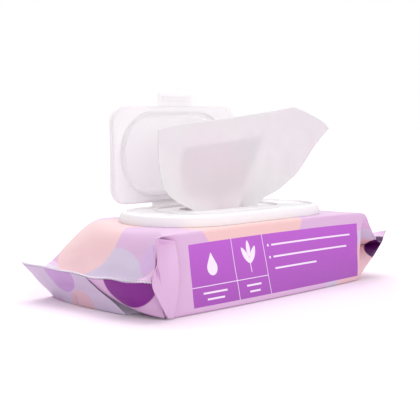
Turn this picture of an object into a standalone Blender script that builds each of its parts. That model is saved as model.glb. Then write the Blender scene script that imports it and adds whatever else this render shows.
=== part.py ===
"""Wet wipes pack: a crimped film wrapper, folded wipes, and a flip-lid dispenser with one wipe drawn out.

The long side runs along X, the near side faces -Y, and the pack rests on Z = 0.
The origin is the centre of the resting face. All sizes below are in millimetres.
"""
import math
from dataclasses import dataclass

import bmesh
import bpy
from mathutils import Vector
from mathutils.geometry import tessellate_polygon

MM = 0.001
TOP = "top"
BOTTOM = "bottom"

# Clearance between separate pieces, how deep joined pieces overlap, and how far a cutter reaches beyond
FIT_GAP = 0.3
JOIN_DEPTH = 0.5
CUT_REACH = 1.0

# Film wrapper
PACK_LENGTH = 240.0
PACK_WIDTH = 110.0
PACK_HEIGHT = 48.2
FILM_WALL = 0.5
FIN_WIDTH = 11.0
FIN_THICKNESS = 1.2
TOP_LEAN = 9.0
BOTTOM_BULGE = 3.0
WALL_BELLY = 4.0
BELLY_FULLNESS = 0.6
TOP_EDGE_RADIUS = 9.0
BOTTOM_EDGE_RADIUS = 4.0
TUCK_SHARE = 0.52
TUCK_INWARD = 4.0
TUCK_SETBACK = 0.8
SEAM_FOLD_Y = 9.0
SEAM_EDGE_Y = -9.0
SEAM_LIFT = 2.2
SEAM_STEP = 0.3
SEAM_DROP = 0.5
CAVITY_START = 0.03
CAVITY_TURN = 0.1
CAVITY_REACH = 0.74
TUCK_CLEARANCE = 5.0

# Folded wipes
STACK_END_GAP = 8.0
STACK_SIDE_GAP = 6.0
WIPE_FOLD_PITCH = 3.8
WIPE_FOLD_BULGE = 0.3
WIPE_FOLD_STOPS = (0.3, 0.7)
STACK_TOP_GAP = 1.5
STACK_SHOULDER_HEIGHT = 15.0
STACK_SHOULDER_INSET = 9.0

# Dispenser, whose centre line is set along the pack and across it
DISPENSER_X = 12.0
BASE_Y = 1.0
BASE_LENGTH = 164.0
BASE_WIDTH = 83.0
BASE_CORNER = 40.5
BASE_HEIGHT = 5.8
BASE_DRAFT = 2.2
BASE_RIM = 3.2
BASE_FOOT_INSET = 0.15
BASE_FOOT_HEIGHT = 0.8
BASE_SHOULDER_DROP = 1.2
BASE_EDGE_DROP = 0.4
BASE_EDGE_INSET = 0.9
WELL_DRAFT = 0.8
DECK_DEPTH = 1.6
DECK_THICKNESS = 1.4
GLUE_LAND = 7.0
GLUE_WIDTH = 4.5
GLUE_THICKNESS = 0.6
GLUE_INSET = 1.4
ORIFICE_LENGTH = 66.0
ORIFICE_WIDTH = 26.0
ORIFICE_COLLAR = 1.6
COLLAR_RISE = 0.7
DIE_CUT_MARGIN = 3.0
SEAL_RING_HEIGHT = 1.4
SEAL_RING_WALL = 1.2
SEAL_CLEARANCE = 0.4

# Flip lid
LID_LENGTH = 121.0
LID_WIDTH = 68.2
LID_CORNER = 12.0
LID_PLATE = 1.2
LID_LIP = 2.6
LID_LIP_WALL = 1.3
LID_BACK_EDGE = 0.6
BEAD_LENGTH = 104.0
BEAD_WIDTH = 59.5
BEAD_WALL = 1.2
BEAD_HEIGHT = 3.4
DOME_DEPTH = 3.2
DOME_MARGIN = 2.2
DOME_DRAFT = 0.8
DOME_EDGE = 1.2
DISH_FOOT = 0.4
DISH_DRAFT = 0.8
DISH_EDGE = 1.0
DISH_FLOOR_INSET = 2.2
DOME_ROOF_INSET = 2.4
TAB_WIDTH = 33.0
TAB_REACH = 9.7
TAB_STEP = 1.0
TAB_RIB = 0.9
TAB_RIB_INSET = 3.0
TAB_RIB_WIDTH = 1.6
TAB_RIB_PLACE = 0.55
TAB_CORNER = 2.0
TAB_LAP = 2.0
HINGE_WIDTH = 44.0
HINGE_RADIUS = 0.7
HINGE_DROP = 2.2
LID_ROOT = 3.4
HINGE_LAND_DEPTH = 4.0
HINGE_LAND_CORNER = 0.5
HINGE_LAND_FOOT = 1.5
HINGE_LAND_DROP = 0.8
STRAP_LAP = 2.0
STRAP_CORNER = 0.2
STRAP_STEP = 0.05

# Drawn-out wipe
WIPE_THICKNESS = 1.0
WIPE_ROOT_WIDTH = 50.0
WIPE_ROOT_SHIFT = -3.0
WIPE_TOP_SAG = 3.0
WIPE_ROOT_WAVES = 3
WIPE_ROOT_WAVE = 3.2
WIPE_FAN_WAVE = 5.0
WIPE_COLUMNS = 24
WIPE_RISES = (0.0, 0.12, 0.26, 0.42, 0.6, 0.8, 1.0)


@dataclass(frozen=True)
class PackEnd:
    """One crimped end; each triple is its value at the near side, the middle and the far side.

    Shoulder, heel and cut are set in from half of PACK_LENGTH, heights up from the resting face, and
    tilts are in degrees.
    """

    side: int
    shoulder: tuple
    heel: tuple
    cut: tuple
    cut_height: tuple
    fin_tilt: tuple
    top_swell: tuple
    localness: float

    def at(self, triple, y):
        """Return the value of a triple at y, which runs from -1 at the near side to 1 at the far side."""
        near, middle, far = triple
        edge = far if y > 0 else near
        return middle + (edge - middle) * abs(y) ** self.localness

    def from_middle(self, insets, y):
        """Return x of a line across this end."""
        return self.side * (PACK_LENGTH / 2 - self.at(insets, y))

    def cut_point(self, y):
        """Return x and z of the fin's cut edge."""
        return self.from_middle(self.cut, y), self.at(self.cut_height, y)

    def root_point(self, y):
        """Return x and z of the fin's root, where the top and bottom panels meet."""
        x, z = self.cut_point(y)
        tilt = math.radians(self.at(self.fin_tilt, y))
        return x - self.side * FIN_WIDTH * math.cos(tilt), z - FIN_WIDTH * math.sin(tilt)

    def fin_point(self, y, reach, face):
        """Return x and z on the fin: upper face 1, middle 0, lower face -1, from root 0 to cut edge 1."""
        root = Vector(self.root_point(y))
        along = (Vector(self.cut_point(y)) - root).normalized()
        upward = Vector((-along.y, along.x)) * self.side
        return root + along * FIN_WIDTH * reach + upward * face * FIN_THICKNESS / 2

    def top_point(self, y, closing):
        """Return x and z on the top panel: shoulder at closing 0, fin root at 1."""
        root_x, root_z = self.root_point(y)
        start = self.from_middle(self.shoulder, y)
        low = root_z + FIN_THICKNESS / 2
        fall = 0.5 + 0.5 * math.cos(math.pi * closing ** self.at(self.top_swell, y))
        return start + (root_x - start) * closing, low + (PACK_HEIGHT - low) * fall

    def bottom_point(self, y, closing):
        """Return x and z on the bottom panel: heel at closing 0, fin root at 1."""
        root_x, root_z = self.root_point(y)
        start = self.from_middle(self.heel, y)
        return start + (root_x - start) * closing, (root_z - FIN_THICKNESS / 2) * closing

    def panel_point(self, panel, y, closing):
        """Return x and z on the top or bottom panel."""
        return self.top_point(y, closing) if panel == TOP else self.bottom_point(y, closing)


LEFT_END = PackEnd(
    side=-1,
    shoulder=(15.5, 46.0, 74.0),
    heel=(23.5, 15.5, 26.0),
    cut=(10.9, 6.5, 2.2),
    cut_height=(22.9, 22.6, 24.5),
    fin_tilt=(-62.0, 60.0, 45.0),
    top_swell=(1.0, 1.1, 1.2),
    localness=3.0,
)
RIGHT_END = PackEnd(
    side=1,
    shoulder=(22.5, 28.0, 30.0),
    heel=(26.0, 27.0, 28.0),
    cut=(-8.0, -2.5, 0.0),
    cut_height=(33.0, 26.0, 25.0),
    fin_tilt=(54.0, 20.0, 2.0),
    top_swell=(1.0, 1.0, 1.0),
    localness=2.0,
)

# Places that follow from the sizes
STACK_BOTTOM = FILM_WALL + FIT_GAP
STACK_TOP = PACK_HEIGHT - FILM_WALL - STACK_TOP_GAP
GLUE_BOTTOM = PACK_HEIGHT + FIT_GAP
BASE_BOTTOM = GLUE_BOTTOM + GLUE_THICKNESS + FIT_GAP
BASE_TOP = BASE_BOTTOM + BASE_HEIGHT
DECK_TOP = BASE_TOP - DECK_DEPTH
BASE_BACK = BASE_Y + BASE_WIDTH / 2
HINGE_Y = BASE_BACK + FIT_GAP + HINGE_RADIUS
HINGE_Z = BASE_TOP - HINGE_DROP
LID_FACE = HINGE_DROP + LID_LIP + FIT_GAP
LID_MIDDLE = LID_ROOT + LID_WIDTH / 2
ORIFICE_Y = HINGE_Y - LID_MIDDLE
DIE_CUT_LENGTH = ORIFICE_LENGTH + 2 * DIE_CUT_MARGIN
DIE_CUT_WIDTH = ORIFICE_WIDTH + 2 * DIE_CUT_MARGIN


def clear_scene():
    """Remove every object of the open file."""
    for item in list(bpy.data.objects):
        bpy.data.objects.remove(item, do_unlink=True)


def plain_material(name, colour, roughness, transmission=0.0):
    """Return a Principled material with one colour."""
    material = bpy.data.materials.new(name)
    material.use_nodes = True
    shader = material.node_tree.nodes["Principled BSDF"]
    shader.inputs["Base Color"].default_value = (*colour, 1.0)
    shader.inputs["Roughness"].default_value = roughness
    shader.inputs["Metallic"].default_value = 0.0
    shader.inputs["Transmission Weight"].default_value = transmission
    material.diffuse_color = (*colour, 1.0)
    return material


def finish_object(name, bm, material, smooth_angle=40.0, origin=(0.0, 0.0, 0.0)):
    """Turn a bmesh in millimetres into an object in metres whose origin is given in millimetres."""
    bmesh.ops.recalc_face_normals(bm, faces=bm.faces)
    mesh = bpy.data.meshes.new(name)
    bmesh.ops.scale(bm, vec=(MM, MM, MM), verts=bm.verts)
    bm.to_mesh(mesh)
    bm.free()
    mesh.materials.append(material)
    mesh.shade_smooth()
    mesh.set_sharp_from_angle(angle=math.radians(smooth_angle))
    item = bpy.data.objects.new(name, mesh)
    item.location = Vector(origin) * MM
    bpy.context.scene.collection.objects.link(item)
    return item


def combine(item, other, operation):
    """Add a Boolean modifier to an object, and hide the piece that it uses."""
    other.hide_render = True
    other.display_type = "WIRE"
    other.parent = item.parent
    modifier = item.modifiers.new(operation.title(), "BOOLEAN")
    modifier.operation = operation
    modifier.object = other


def rounded_outline(length, width, radius, centre=(0.0, 0.0), arc_steps=10):
    """Return the points of a rectangle with round corners; a radius of half the width makes a stadium."""
    corner = min(radius, width / 2 - 0.01, length / 2 - 0.01)
    reach_x = length / 2 - corner
    reach_y = width / 2 - corner
    points = []
    for quarter, (sign_x, sign_y) in enumerate(((1, 1), (-1, 1), (-1, -1), (1, -1))):
        for step in range(arc_steps + 1):
            turn = math.radians(90 * quarter + 90 * step / arc_steps)
            x = centre[0] + sign_x * reach_x + corner * math.cos(turn)
            y = centre[1] + sign_y * reach_y + corner * math.sin(turn)
            points.append((x, y))
    return points


def inset_outline(length, width, radius, inset, centre, arc_steps=10):
    """Return a rounded outline that lies inside the given one by an equal distance all round."""
    return rounded_outline(length - 2 * inset, width - 2 * inset, radius - inset, centre, arc_steps)


def loft(loops, cap_start=True, cap_end=True):
    """Return a bmesh that joins closed loops of points in order, and closes the two ends."""
    bm = bmesh.new()
    rings = [[bm.verts.new(point) for point in loop] for loop in loops]
    for first, second in zip(rings, rings[1:]):
        for index, corner in enumerate(first):
            following = (index + 1) % len(first)
            bm.faces.new((corner, first[following], second[following], second[index]))
    if cap_start:
        bm.faces.new(rings[0])
    if cap_end:
        bm.faces.new(rings[-1])
    return bm


def prism(outline, bottom, top):
    """Return a bmesh of a flat outline raised from one height to another."""
    return loft([[(x, y, z) for x, y in outline] for z in (bottom, top)])


def stadium(length, width, centre, arc_steps=10):
    """Return a stadium outline around a centre."""
    return rounded_outline(length, width, width / 2, centre, arc_steps)


def ring_piece(outer, inner, bottom, top):
    """Return a bmesh of the flat ring between two outlines with the same number of points."""
    loops = [(outer, bottom), (outer, top), (inner, top), (inner, bottom), (outer, bottom)]
    bm = loft([[(x, y, z) for x, y in outline] for outline, z in loops], False, False)
    bmesh.ops.remove_doubles(bm, verts=bm.verts, dist=0.0001)
    return bm


# Stops along and around the film wrapper, from a full cross-section at 0 to the fin's root at 1
CLOSINGS = (0.03, 0.09, 0.18, 0.3, 0.45, 0.6, 0.74, 0.86, 0.95)
MIDDLE_ROWS = 8
CORNER_STEPS = 3
PANEL_SHARES = (0.93, 0.83, 0.66, 0.42)
WALL_SHARES = (0.40, 0.48, 0.56)
TUCK_SHARES = (0.16, 0.39, 0.78)
TUCK_RADIUS = 10.0
CREASE = 0.4
CORNER_LIMIT = 0.9
FOLD_RATE = 1.5
END_WALL_SHARE = 2.0
END_TURN = 6.0
FIN_EDGE = ((1.0, 0.0), (0.9985, 0.6), (0.996, 0.9), (0.992, 1.0))
MERGE_DISTANCE = 0.001


def middle_share(along):
    """Return how far the cross-section has its full belly: 0 at the pack's ends and 1 midway."""
    return math.sin(math.pi * along) ** BELLY_FULLNESS if 0 < along < 1 else 0.0


def half_width(panel, along):
    """Return half the width of the top or bottom panel at a cross-section."""
    drawn_in = -BOTTOM_BULGE if panel == BOTTOM else TOP_LEAN
    return PACK_WIDTH / 2 - drawn_in * middle_share(along)


def panel_at(panel, y, closing, along, inset=0.0):
    """Return a point of the top or bottom panel at y; an inset gives the film's inner face."""
    half = half_width(panel, along)
    ratio = max(-1.0, min(1.0, y / half))
    if along <= 0 or along >= 1:
        end = LEFT_END if along <= 0 else RIGHT_END
        x, z = end.panel_point(panel, ratio, closing)
    else:
        left = Vector(LEFT_END.panel_point(panel, ratio, 0.0))
        right = Vector(RIGHT_END.panel_point(panel, ratio, 0.0))
        x, z = left.lerp(right, along)
    inward = math.copysign(END_WALL_SHARE * inset * min(1.0, closing * END_TURN), x)
    return Vector((x - inward, y, z + (inset if panel == BOTTOM else -inset)))


def middle_at(y, closing, along, inset):
    """Return the point between the two panels at y, where the tuck has its fold."""
    low = panel_at(BOTTOM, y, closing, along, inset)
    middle = low.lerp(panel_at(TOP, y, closing, along, inset), TUCK_SHARE)
    middle.x -= math.copysign(TUCK_INWARD * math.sin(math.pi * closing), middle.x)
    return middle


def straight_wall(y, closing, along, inset):
    """Return the points of an upright wall that stands clear of the tucked film."""
    top = panel_at(TOP, y, closing, along, inset)
    low = panel_at(BOTTOM, y, closing, along, inset)
    last = 2 * len(WALL_SHARES) + 2
    return [top.lerp(low, step / last) for step in range(last + 1)]


def side_wall(side, closing, along, inset):
    """Return the points of one side wall from its top edge down, with its tuck folded in at the ends."""
    half_top = half_width(TOP, along)
    half_low = half_width(BOTTOM, along)
    top = panel_at(TOP, side * half_top, closing, along)
    low = panel_at(BOTTOM, side * half_low, closing, along)
    wall = PACK_HEIGHT / 2
    half_gap = min((top - low).length / 2, wall)
    depth = math.sqrt(wall ** 2 - half_gap ** 2) if closing > 0 else 0.0
    fold = math.atan2(half_gap, depth)
    belly = WALL_BELLY * middle_share(along)
    tuck_y = side * ((half_top + half_low) / 2 + belly - depth - inset / math.sin(fold))
    half_top -= inset / math.tan(fold / 2)
    half_low -= inset / math.tan(fold / 2)
    if inset and closing > 0:
        return straight_wall(tuck_y - side * TUCK_CLEARANCE, closing, along, inset)
    blend = min(1.0, closing * FOLD_RATE)
    shares = [flat + (folded - flat) * blend for flat, folded in zip(WALL_SHARES, TUCK_SHARES)]

    def half_wall(panel, edge_y, share):
        y = edge_y + (tuck_y - edge_y) * share
        edge = panel_at(panel, y, closing, along, inset)
        return edge.lerp(middle_at(y, closing, along, inset), share)

    upper = [half_wall(TOP, side * half_top, share) for share in (0.0, *shares)]
    lower = [half_wall(BOTTOM, side * half_low, share) for share in (*reversed(shares), 0.0)]
    return [*upper, middle_at(tuck_y, closing, along, inset), *lower]


def panel_stops(half):
    """Return y of each column of a panel from near to far, with the back seam's fold and edge."""
    behind = SEAM_EDGE_Y - SEAM_STEP
    near = [-half * share for share in PANEL_SHARES]
    far = [half * share for share in reversed(PANEL_SHARES)]
    return [*near, behind, SEAM_EDGE_Y, (SEAM_EDGE_Y + SEAM_FOLD_Y) / 2, SEAM_FOLD_Y, *far]


def panel_row(panel, half, closing, along, inset):
    """Return the points of the top or bottom panel between its edges, from near to far."""
    points = []
    for y in panel_stops(half):
        point = panel_at(panel, y, closing, along, inset)
        on_seam = SEAM_EDGE_Y <= y < SEAM_FOLD_Y and 0 < closing < 1
        if on_seam and panel == BOTTOM and not inset:
            lifted = (SEAM_FOLD_Y - y) / (SEAM_FOLD_Y - SEAM_EDGE_Y)
            lift = SEAM_LIFT * math.sin(math.pi * closing) * lifted
            point += Vector((math.copysign(lift, point.x), 0.0, -SEAM_DROP * lift))
            point.z = max(point.z, 0.0)
        points.append(point)
    return points


def round_corner(before, corner, after, radius):
    """Return points that round a corner between its two neighbours."""
    start = corner + (before - corner).normalized() * min(radius, (before - corner).length * CORNER_LIMIT)
    end = corner + (after - corner).normalized() * min(radius, (after - corner).length * CORNER_LIMIT)
    points = []
    for step in range(CORNER_STEPS + 1):
        share = step / CORNER_STEPS
        points.append(start * (1 - share) ** 2 + corner * 2 * share * (1 - share) + end * share ** 2)
    return points


def section_loop(closing, along, inset=0.0):
    """Return one closed cross-section of the wrapper; an inset gives its inner face."""
    near = side_wall(-1, closing, along, inset)
    far = side_wall(1, closing, along, inset)
    top = panel_row(TOP, far[0].y, closing, along, inset)
    bottom = panel_row(BOTTOM, far[-1].y, closing, along, inset)
    outline = [near[0], *top, *far, *reversed(bottom), *near[:0:-1]]
    far_top = 1 + len(top)
    far_low = far_top + len(far) - 1
    near_low = far_low + len(bottom) + 1
    to_tuck = len(far) // 2
    radii = {
        0: TOP_EDGE_RADIUS,
        far_top: TOP_EDGE_RADIUS,
        far_top + to_tuck: TUCK_RADIUS,
        far_low: BOTTOM_EDGE_RADIUS,
        near_low: BOTTOM_EDGE_RADIUS,
        near_low + to_tuck: TUCK_RADIUS,
    }
    openness = max(0.0, 1 - closing) ** 2
    loop = []
    for index, point in enumerate(outline):
        if index in radii:
            radius = CREASE + (radii[index] - inset - CREASE) * openness
            loop += round_corner(outline[index - 1], point, outline[(index + 1) % len(outline)], radius)
        else:
            loop.append(point)
    return loop


def cap_section(bm, start, end):
    """Close a folded cross-section with triangles found across the pack's width and height."""
    bm.verts.ensure_lookup_table()
    ring = bm.verts[start:end]
    flat = [Vector((vert.co.y, vert.co.z, 0.0)) for vert in ring]
    for corners in tessellate_polygon([flat]):
        bm.faces.new([ring[index] for index in corners])


def film_rings(closings, ends, inset=0.0):
    """Return the wrapper's cross-sections from left to right, with the middle part's two ends set in."""
    rings = [section_loop(closing, 0.0, inset) for closing in reversed(closings)]
    stops = [ends, *[row / MIDDLE_ROWS for row in range(1, MIDDLE_ROWS)], 1 - ends]
    rings += [section_loop(0.0, stop, inset) for stop in stops]
    rings += [section_loop(closing, 1.0, inset) for closing in closings]
    return rings


def film_strip(bm, first, second):
    """Join two outlines with triangles that all lean the same way, so that close layers stay apart."""
    for index, start in enumerate(first):
        following = (index + 1) % len(first)
        corners = (start, first[following], second[following], second[index])
        if abs(corners[0].co.y) > abs(corners[1].co.y):
            bm.faces.new((corners[0], corners[1], corners[2]))
            bm.faces.new((corners[0], corners[2], corners[3]))
        else:
            bm.faces.new((corners[0], corners[1], corners[3]))
            bm.faces.new((corners[1], corners[2], corners[3]))


def film_loft(loops):
    """Return a bmesh that joins outlines of the film in order."""
    bm = bmesh.new()
    rings = [[bm.verts.new(point) for point in loop] for loop in loops]
    for first, second in zip(rings, rings[1:]):
        film_strip(bm, first, second)
    return bm


def film_cavity():
    """Return a closed bmesh of the wrapper's inner face."""
    closings = [closing for closing in CLOSINGS if CAVITY_TURN < closing <= CAVITY_REACH]
    rings = film_rings(closings, CAVITY_START, FILM_WALL)
    bm = film_loft(rings)
    size = len(rings[0])
    cap_section(bm, 0, size)
    cap_section(bm, len(bm.verts) - size, len(bm.verts))
    return bm


def fin_loop(end, section, reach, with_tucks):
    """Return the fin's outline at a reach; with its tucks it has one point for each of the section's."""
    half = PACK_WIDTH / 2
    corner = CORNER_STEPS + 1
    columns = len(panel_stops(half))
    folded = len(WALL_SHARES) + corner // 2

    def on_fin(y, face):
        x, z = end.fin_point(max(-1.0, min(1.0, y / half)), reach, face)
        setback = TUCK_SETBACK * (1 - reach) if face == 0 else 0.0
        return Vector((x - end.side * setback, y, z))

    stops = [point.y for point in section[corner:corner + columns]]
    far_top = [on_fin(half * share, face) for share, face in reversed(FIN_EDGE)]
    far_low = [on_fin(half * share, -face) for share, face in FIN_EDGE]
    near_low = [on_fin(-half * share, -face) for share, face in reversed(FIN_EDGE)]
    near_top = [on_fin(-half * share, face) for share, face in FIN_EDGE]
    top = [on_fin(y, 1) for y in stops]
    bottom = [on_fin(y, -1) for y in reversed(stops)]
    far_tuck = []
    near_tuck = []
    if with_tucks:
        far_in = [point.y for point in section[2 * corner + columns:][:folded]]
        near_out = [point.y for point in section[-folded:]]
        far_tuck = [on_fin(y, 0) for y in (*far_in, *reversed(far_in))]
        near_tuck = [on_fin(y, 0) for y in (*reversed(near_out), *near_out)]
    return [*near_top, *top, *far_top, *far_tuck, *far_low, *bottom, *near_low, *near_tuck]


def add_fin(bm, end, section):
    """Add the fin that carries on from the body's last outline to its cut edge."""
    rings = []
    for reach in (0.0, 1.0):
        outline = fin_loop(end, section, reach, False)
        rings.append([bm.verts.new(point) for point in outline])
    film_strip(bm, *rings)
    edge = rings[1]
    size = len(edge)
    for index in range(size // 2 - 1):
        bm.faces.new((edge[index], edge[index + 1], edge[size - 2 - index], edge[size - 1 - index]))


def film_outside():
    """Return a closed bmesh of the wrapper's outer face with its two fins."""
    rings = film_rings(CLOSINGS, 0.0)
    roots = [fin_loop(LEFT_END, rings[0], 0.0, True), fin_loop(RIGHT_END, rings[-1], 0.0, True)]
    bm = film_loft([roots[0], *rings, roots[1]])
    add_fin(bm, LEFT_END, rings[0])
    add_fin(bm, RIGHT_END, rings[-1])
    bmesh.ops.remove_doubles(bm, verts=bm.verts, dist=MERGE_DISTANCE)
    return bm


def build_film(material):
    """Build the wrapper: fins, tucked sides, back seam and the die-cut hole under the dispenser."""
    bm = film_outside()
    cavity = film_cavity()
    film = finish_object("film_wrapper", bm, material, 25.0)
    hollow = finish_object("film_cavity_cutter", cavity, material)
    combine(film, hollow, "DIFFERENCE")
    hole = stadium(DIE_CUT_LENGTH, DIE_CUT_WIDTH, (DISPENSER_X, ORIFICE_Y), 8)
    cutter = finish_object("film_hole_cutter", prism(hole, STACK_TOP, PACK_HEIGHT + CUT_REACH), material)
    combine(film, cutter, "DIFFERENCE")
    return film


def stack_end(end):
    """Return x of one end of the pile of wipes, clear of where the top panel starts to fall."""
    return end.side * (PACK_LENGTH / 2 - end.shoulder[1] - STACK_END_GAP)


def build_stack(material):
    """Build the pile of folded wipes, whose long sides show one rounded fold above another."""
    height = STACK_TOP - STACK_BOTTOM
    folds = round(height / WIPE_FOLD_PITCH)
    pitch = height / folds
    bulge = pitch * WIPE_FOLD_BULGE
    low_stop, high_stop = WIPE_FOLD_STOPS
    shoulder = STACK_TOP - STACK_SHOULDER_HEIGHT
    profile = []
    for side in (1, -1):
        for fold in range(folds):
            level = fold if side > 0 else folds - 1 - fold
            base = STACK_BOTTOM + level * pitch
            stops = (0.0, low_stop, high_stop) if side > 0 else (1.0, high_stop, low_stop)
            for share in stops:
                swell = bulge * math.sin(math.pi * share) - bulge
                height_here = base + share * pitch
                above = max(0.0, (height_here - shoulder) / STACK_SHOULDER_HEIGHT)
                half = PACK_WIDTH / 2 - STACK_SIDE_GAP - STACK_SHOULDER_INSET * above ** 2
                profile.append((side * (half + swell), height_here))
    loops = []
    for x in (stack_end(LEFT_END), stack_end(RIGHT_END)):
        loops.append([(x, y, z) for y, z in profile])
    return finish_object("wipe_stack", loft(loops), material, 20.0)


def build_adhesive(material):
    """Build the ring of adhesive that holds the dispenser to the film."""
    centre = (DISPENSER_X, BASE_Y)
    outer = inset_outline(BASE_LENGTH, BASE_WIDTH, BASE_CORNER, GLUE_INSET, centre)
    inner = inset_outline(BASE_LENGTH, BASE_WIDTH, BASE_CORNER, GLUE_INSET + GLUE_WIDTH, centre)
    ring = ring_piece(outer, inner, GLUE_BOTTOM, GLUE_BOTTOM + GLUE_THICKNESS)
    return finish_object("lid_adhesive", ring, material)


def base_body():
    """Return the dispenser base before its holes: a drafted wall, a rounded rim and a sunken deck."""
    centre = (DISPENSER_X, BASE_Y)
    steps = (
        (0.0, BASE_BOTTOM),
        (BASE_FOOT_INSET, BASE_BOTTOM + BASE_FOOT_HEIGHT),
        (BASE_DRAFT * 0.75, BASE_TOP - BASE_SHOULDER_DROP),
        (BASE_DRAFT, BASE_TOP - BASE_EDGE_DROP),
        (BASE_DRAFT + BASE_EDGE_INSET, BASE_TOP),
        (BASE_DRAFT + BASE_RIM, BASE_TOP),
        (BASE_DRAFT + BASE_RIM + WELL_DRAFT, DECK_TOP),
    )
    loops = []
    for inset, height in steps:
        outline = inset_outline(BASE_LENGTH, BASE_WIDTH, BASE_CORNER, inset, centre)
        loops.append([(x, y, height) for x, y in outline])
    return loft(loops)


def build_base(material):
    """Build the moulded base: hollow underside, seal ring, collared orifice and hinge land."""
    middle = (DISPENSER_X, ORIFICE_Y)
    base = finish_object("lid_base", base_body(), material, 35.0)
    land_middle = (DISPENSER_X, BASE_BACK - HINGE_LAND_DEPTH / 2)
    land = rounded_outline(HINGE_WIDTH, HINGE_LAND_DEPTH, HINGE_LAND_CORNER, land_middle, 2)
    land_body = prism(land, BASE_BOTTOM + HINGE_LAND_FOOT, BASE_TOP - HINGE_LAND_DROP)
    combine(base, finish_object("hinge_land_tool", land_body, material), "UNION")
    hollow = inset_outline(BASE_LENGTH, BASE_WIDTH, BASE_CORNER, GLUE_LAND, (DISPENSER_X, BASE_Y))
    under = prism(hollow, BASE_BOTTOM - CUT_REACH, DECK_TOP - DECK_THICKNESS)
    combine(base, finish_object("underside_cutter", under, material), "DIFFERENCE")
    seal_length = BEAD_LENGTH - 2 * BEAD_WALL - 2 * SEAL_CLEARANCE
    seal_width = BEAD_WIDTH - 2 * BEAD_WALL - 2 * SEAL_CLEARANCE
    outer = stadium(seal_length, seal_width, middle)
    inner = stadium(seal_length - 2 * SEAL_RING_WALL, seal_width - 2 * SEAL_RING_WALL, middle)
    ring = ring_piece(outer, inner, DECK_TOP - JOIN_DEPTH, DECK_TOP + SEAL_RING_HEIGHT)
    combine(base, finish_object("seal_ring_tool", ring, material), "UNION")
    collar = stadium(ORIFICE_LENGTH + 2 * ORIFICE_COLLAR, ORIFICE_WIDTH + 2 * ORIFICE_COLLAR, middle)
    body = prism(collar, BASE_BOTTOM, DECK_TOP + COLLAR_RISE)
    combine(base, finish_object("orifice_collar_tool", body, material), "UNION")
    opening = stadium(ORIFICE_LENGTH, ORIFICE_WIDTH, middle)
    hole = prism(opening, BASE_BOTTOM - CUT_REACH, BASE_TOP + CUT_REACH)
    combine(base, finish_object("orifice_cutter", hole, material), "DIFFERENCE")
    return base


def stand_up(bm):
    """Turn a shape drawn flat, with its thickness along Z, so that it stands behind the hinge."""
    for vert in bm.verts:
        across, along, outward = vert.co
        vert.co = (across, outward, along)


def lid_piece(name, outline_steps, material):
    """Return a part of the lid, lofted through outlines at given distances out from the hinge."""
    bm = loft([[(x, y, out) for x, y in outline] for outline, out in outline_steps])
    stand_up(bm)
    return finish_object(name, bm, material, 35.0, (DISPENSER_X, HINGE_Y, HINGE_Z))


def build_lid(material):
    """Build the flip lid, open at a right angle; its origin lies on the hinge line."""
    middle = (0.0, LID_MIDDLE)
    back = LID_FACE + LID_PLATE
    front = LID_FACE - LID_LIP

    def plate(inset):
        return inset_outline(LID_LENGTH, LID_WIDTH, LID_CORNER, inset, middle, 6)

    def oval(inset):
        return stadium(BEAD_LENGTH - 2 * inset, BEAD_WIDTH - 2 * inset, middle)

    shell = ((plate(0.0), front), (plate(0.0), back - LID_BACK_EDGE), (plate(LID_BACK_EDGE), back))
    lid = lid_piece("flip_lid", shell, material)
    tray = ((plate(LID_LIP_WALL), front - CUT_REACH), (plate(LID_LIP_WALL), LID_FACE))
    combine(lid, lid_piece("lid_tray_cutter", tray, material), "DIFFERENCE")
    roof = back + DOME_DEPTH
    foot = DOME_MARGIN - LID_PLATE
    dome = (
        (oval(foot), back - JOIN_DEPTH),
        (oval(foot + DOME_DRAFT), roof - DOME_EDGE),
        (oval(foot + DOME_ROOF_INSET), roof),
    )
    combine(lid, lid_piece("lid_dome_tool", dome, material), "UNION")
    bead = ((oval(0.0), LID_FACE - BEAD_HEIGHT), (oval(0.0), LID_FACE + JOIN_DEPTH))
    combine(lid, lid_piece("seal_bead_tool", bead, material), "UNION")
    recess = (
        (oval(BEAD_WALL), LID_FACE - BEAD_HEIGHT - CUT_REACH),
        (oval(BEAD_WALL), LID_FACE),
        (oval(DOME_MARGIN), LID_FACE + DISH_FOOT),
        (oval(DOME_MARGIN + DISH_DRAFT), LID_FACE + DOME_DEPTH - DISH_EDGE),
        (oval(DOME_MARGIN + DISH_FLOOR_INSET), LID_FACE + DOME_DEPTH),
    )
    combine(lid, lid_piece("lid_recess_cutter", recess, material), "DIFFERENCE")
    add_tab(lid, material, back)
    add_hinge_strap(lid, material, back)
    return lid


def add_tab(lid, material, back):
    """Add the finger tab at the lid's free edge, with a rib across its inner face."""
    edge = LID_ROOT + LID_WIDTH
    face = back - LID_PLATE - TAB_STEP
    tab_middle = (0.0, edge + (TAB_REACH - TAB_LAP) / 2)
    outline = rounded_outline(TAB_WIDTH, TAB_REACH + TAB_LAP, TAB_CORNER, tab_middle, 3)
    tab = ((outline, face), (outline, face + LID_PLATE))
    combine(lid, lid_piece("lid_tab_tool", tab, material), "UNION")
    rib_length = TAB_WIDTH - 2 * TAB_RIB_INSET
    rib_middle = (0.0, edge + TAB_REACH * TAB_RIB_PLACE)
    rib_outline = rounded_outline(rib_length, TAB_RIB_WIDTH, TAB_RIB_WIDTH / 2, rib_middle, 3)
    rib = ((rib_outline, face - TAB_RIB), (rib_outline, face + JOIN_DEPTH))
    combine(lid, lid_piece("tab_rib_tool", rib, material), "UNION")


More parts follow.
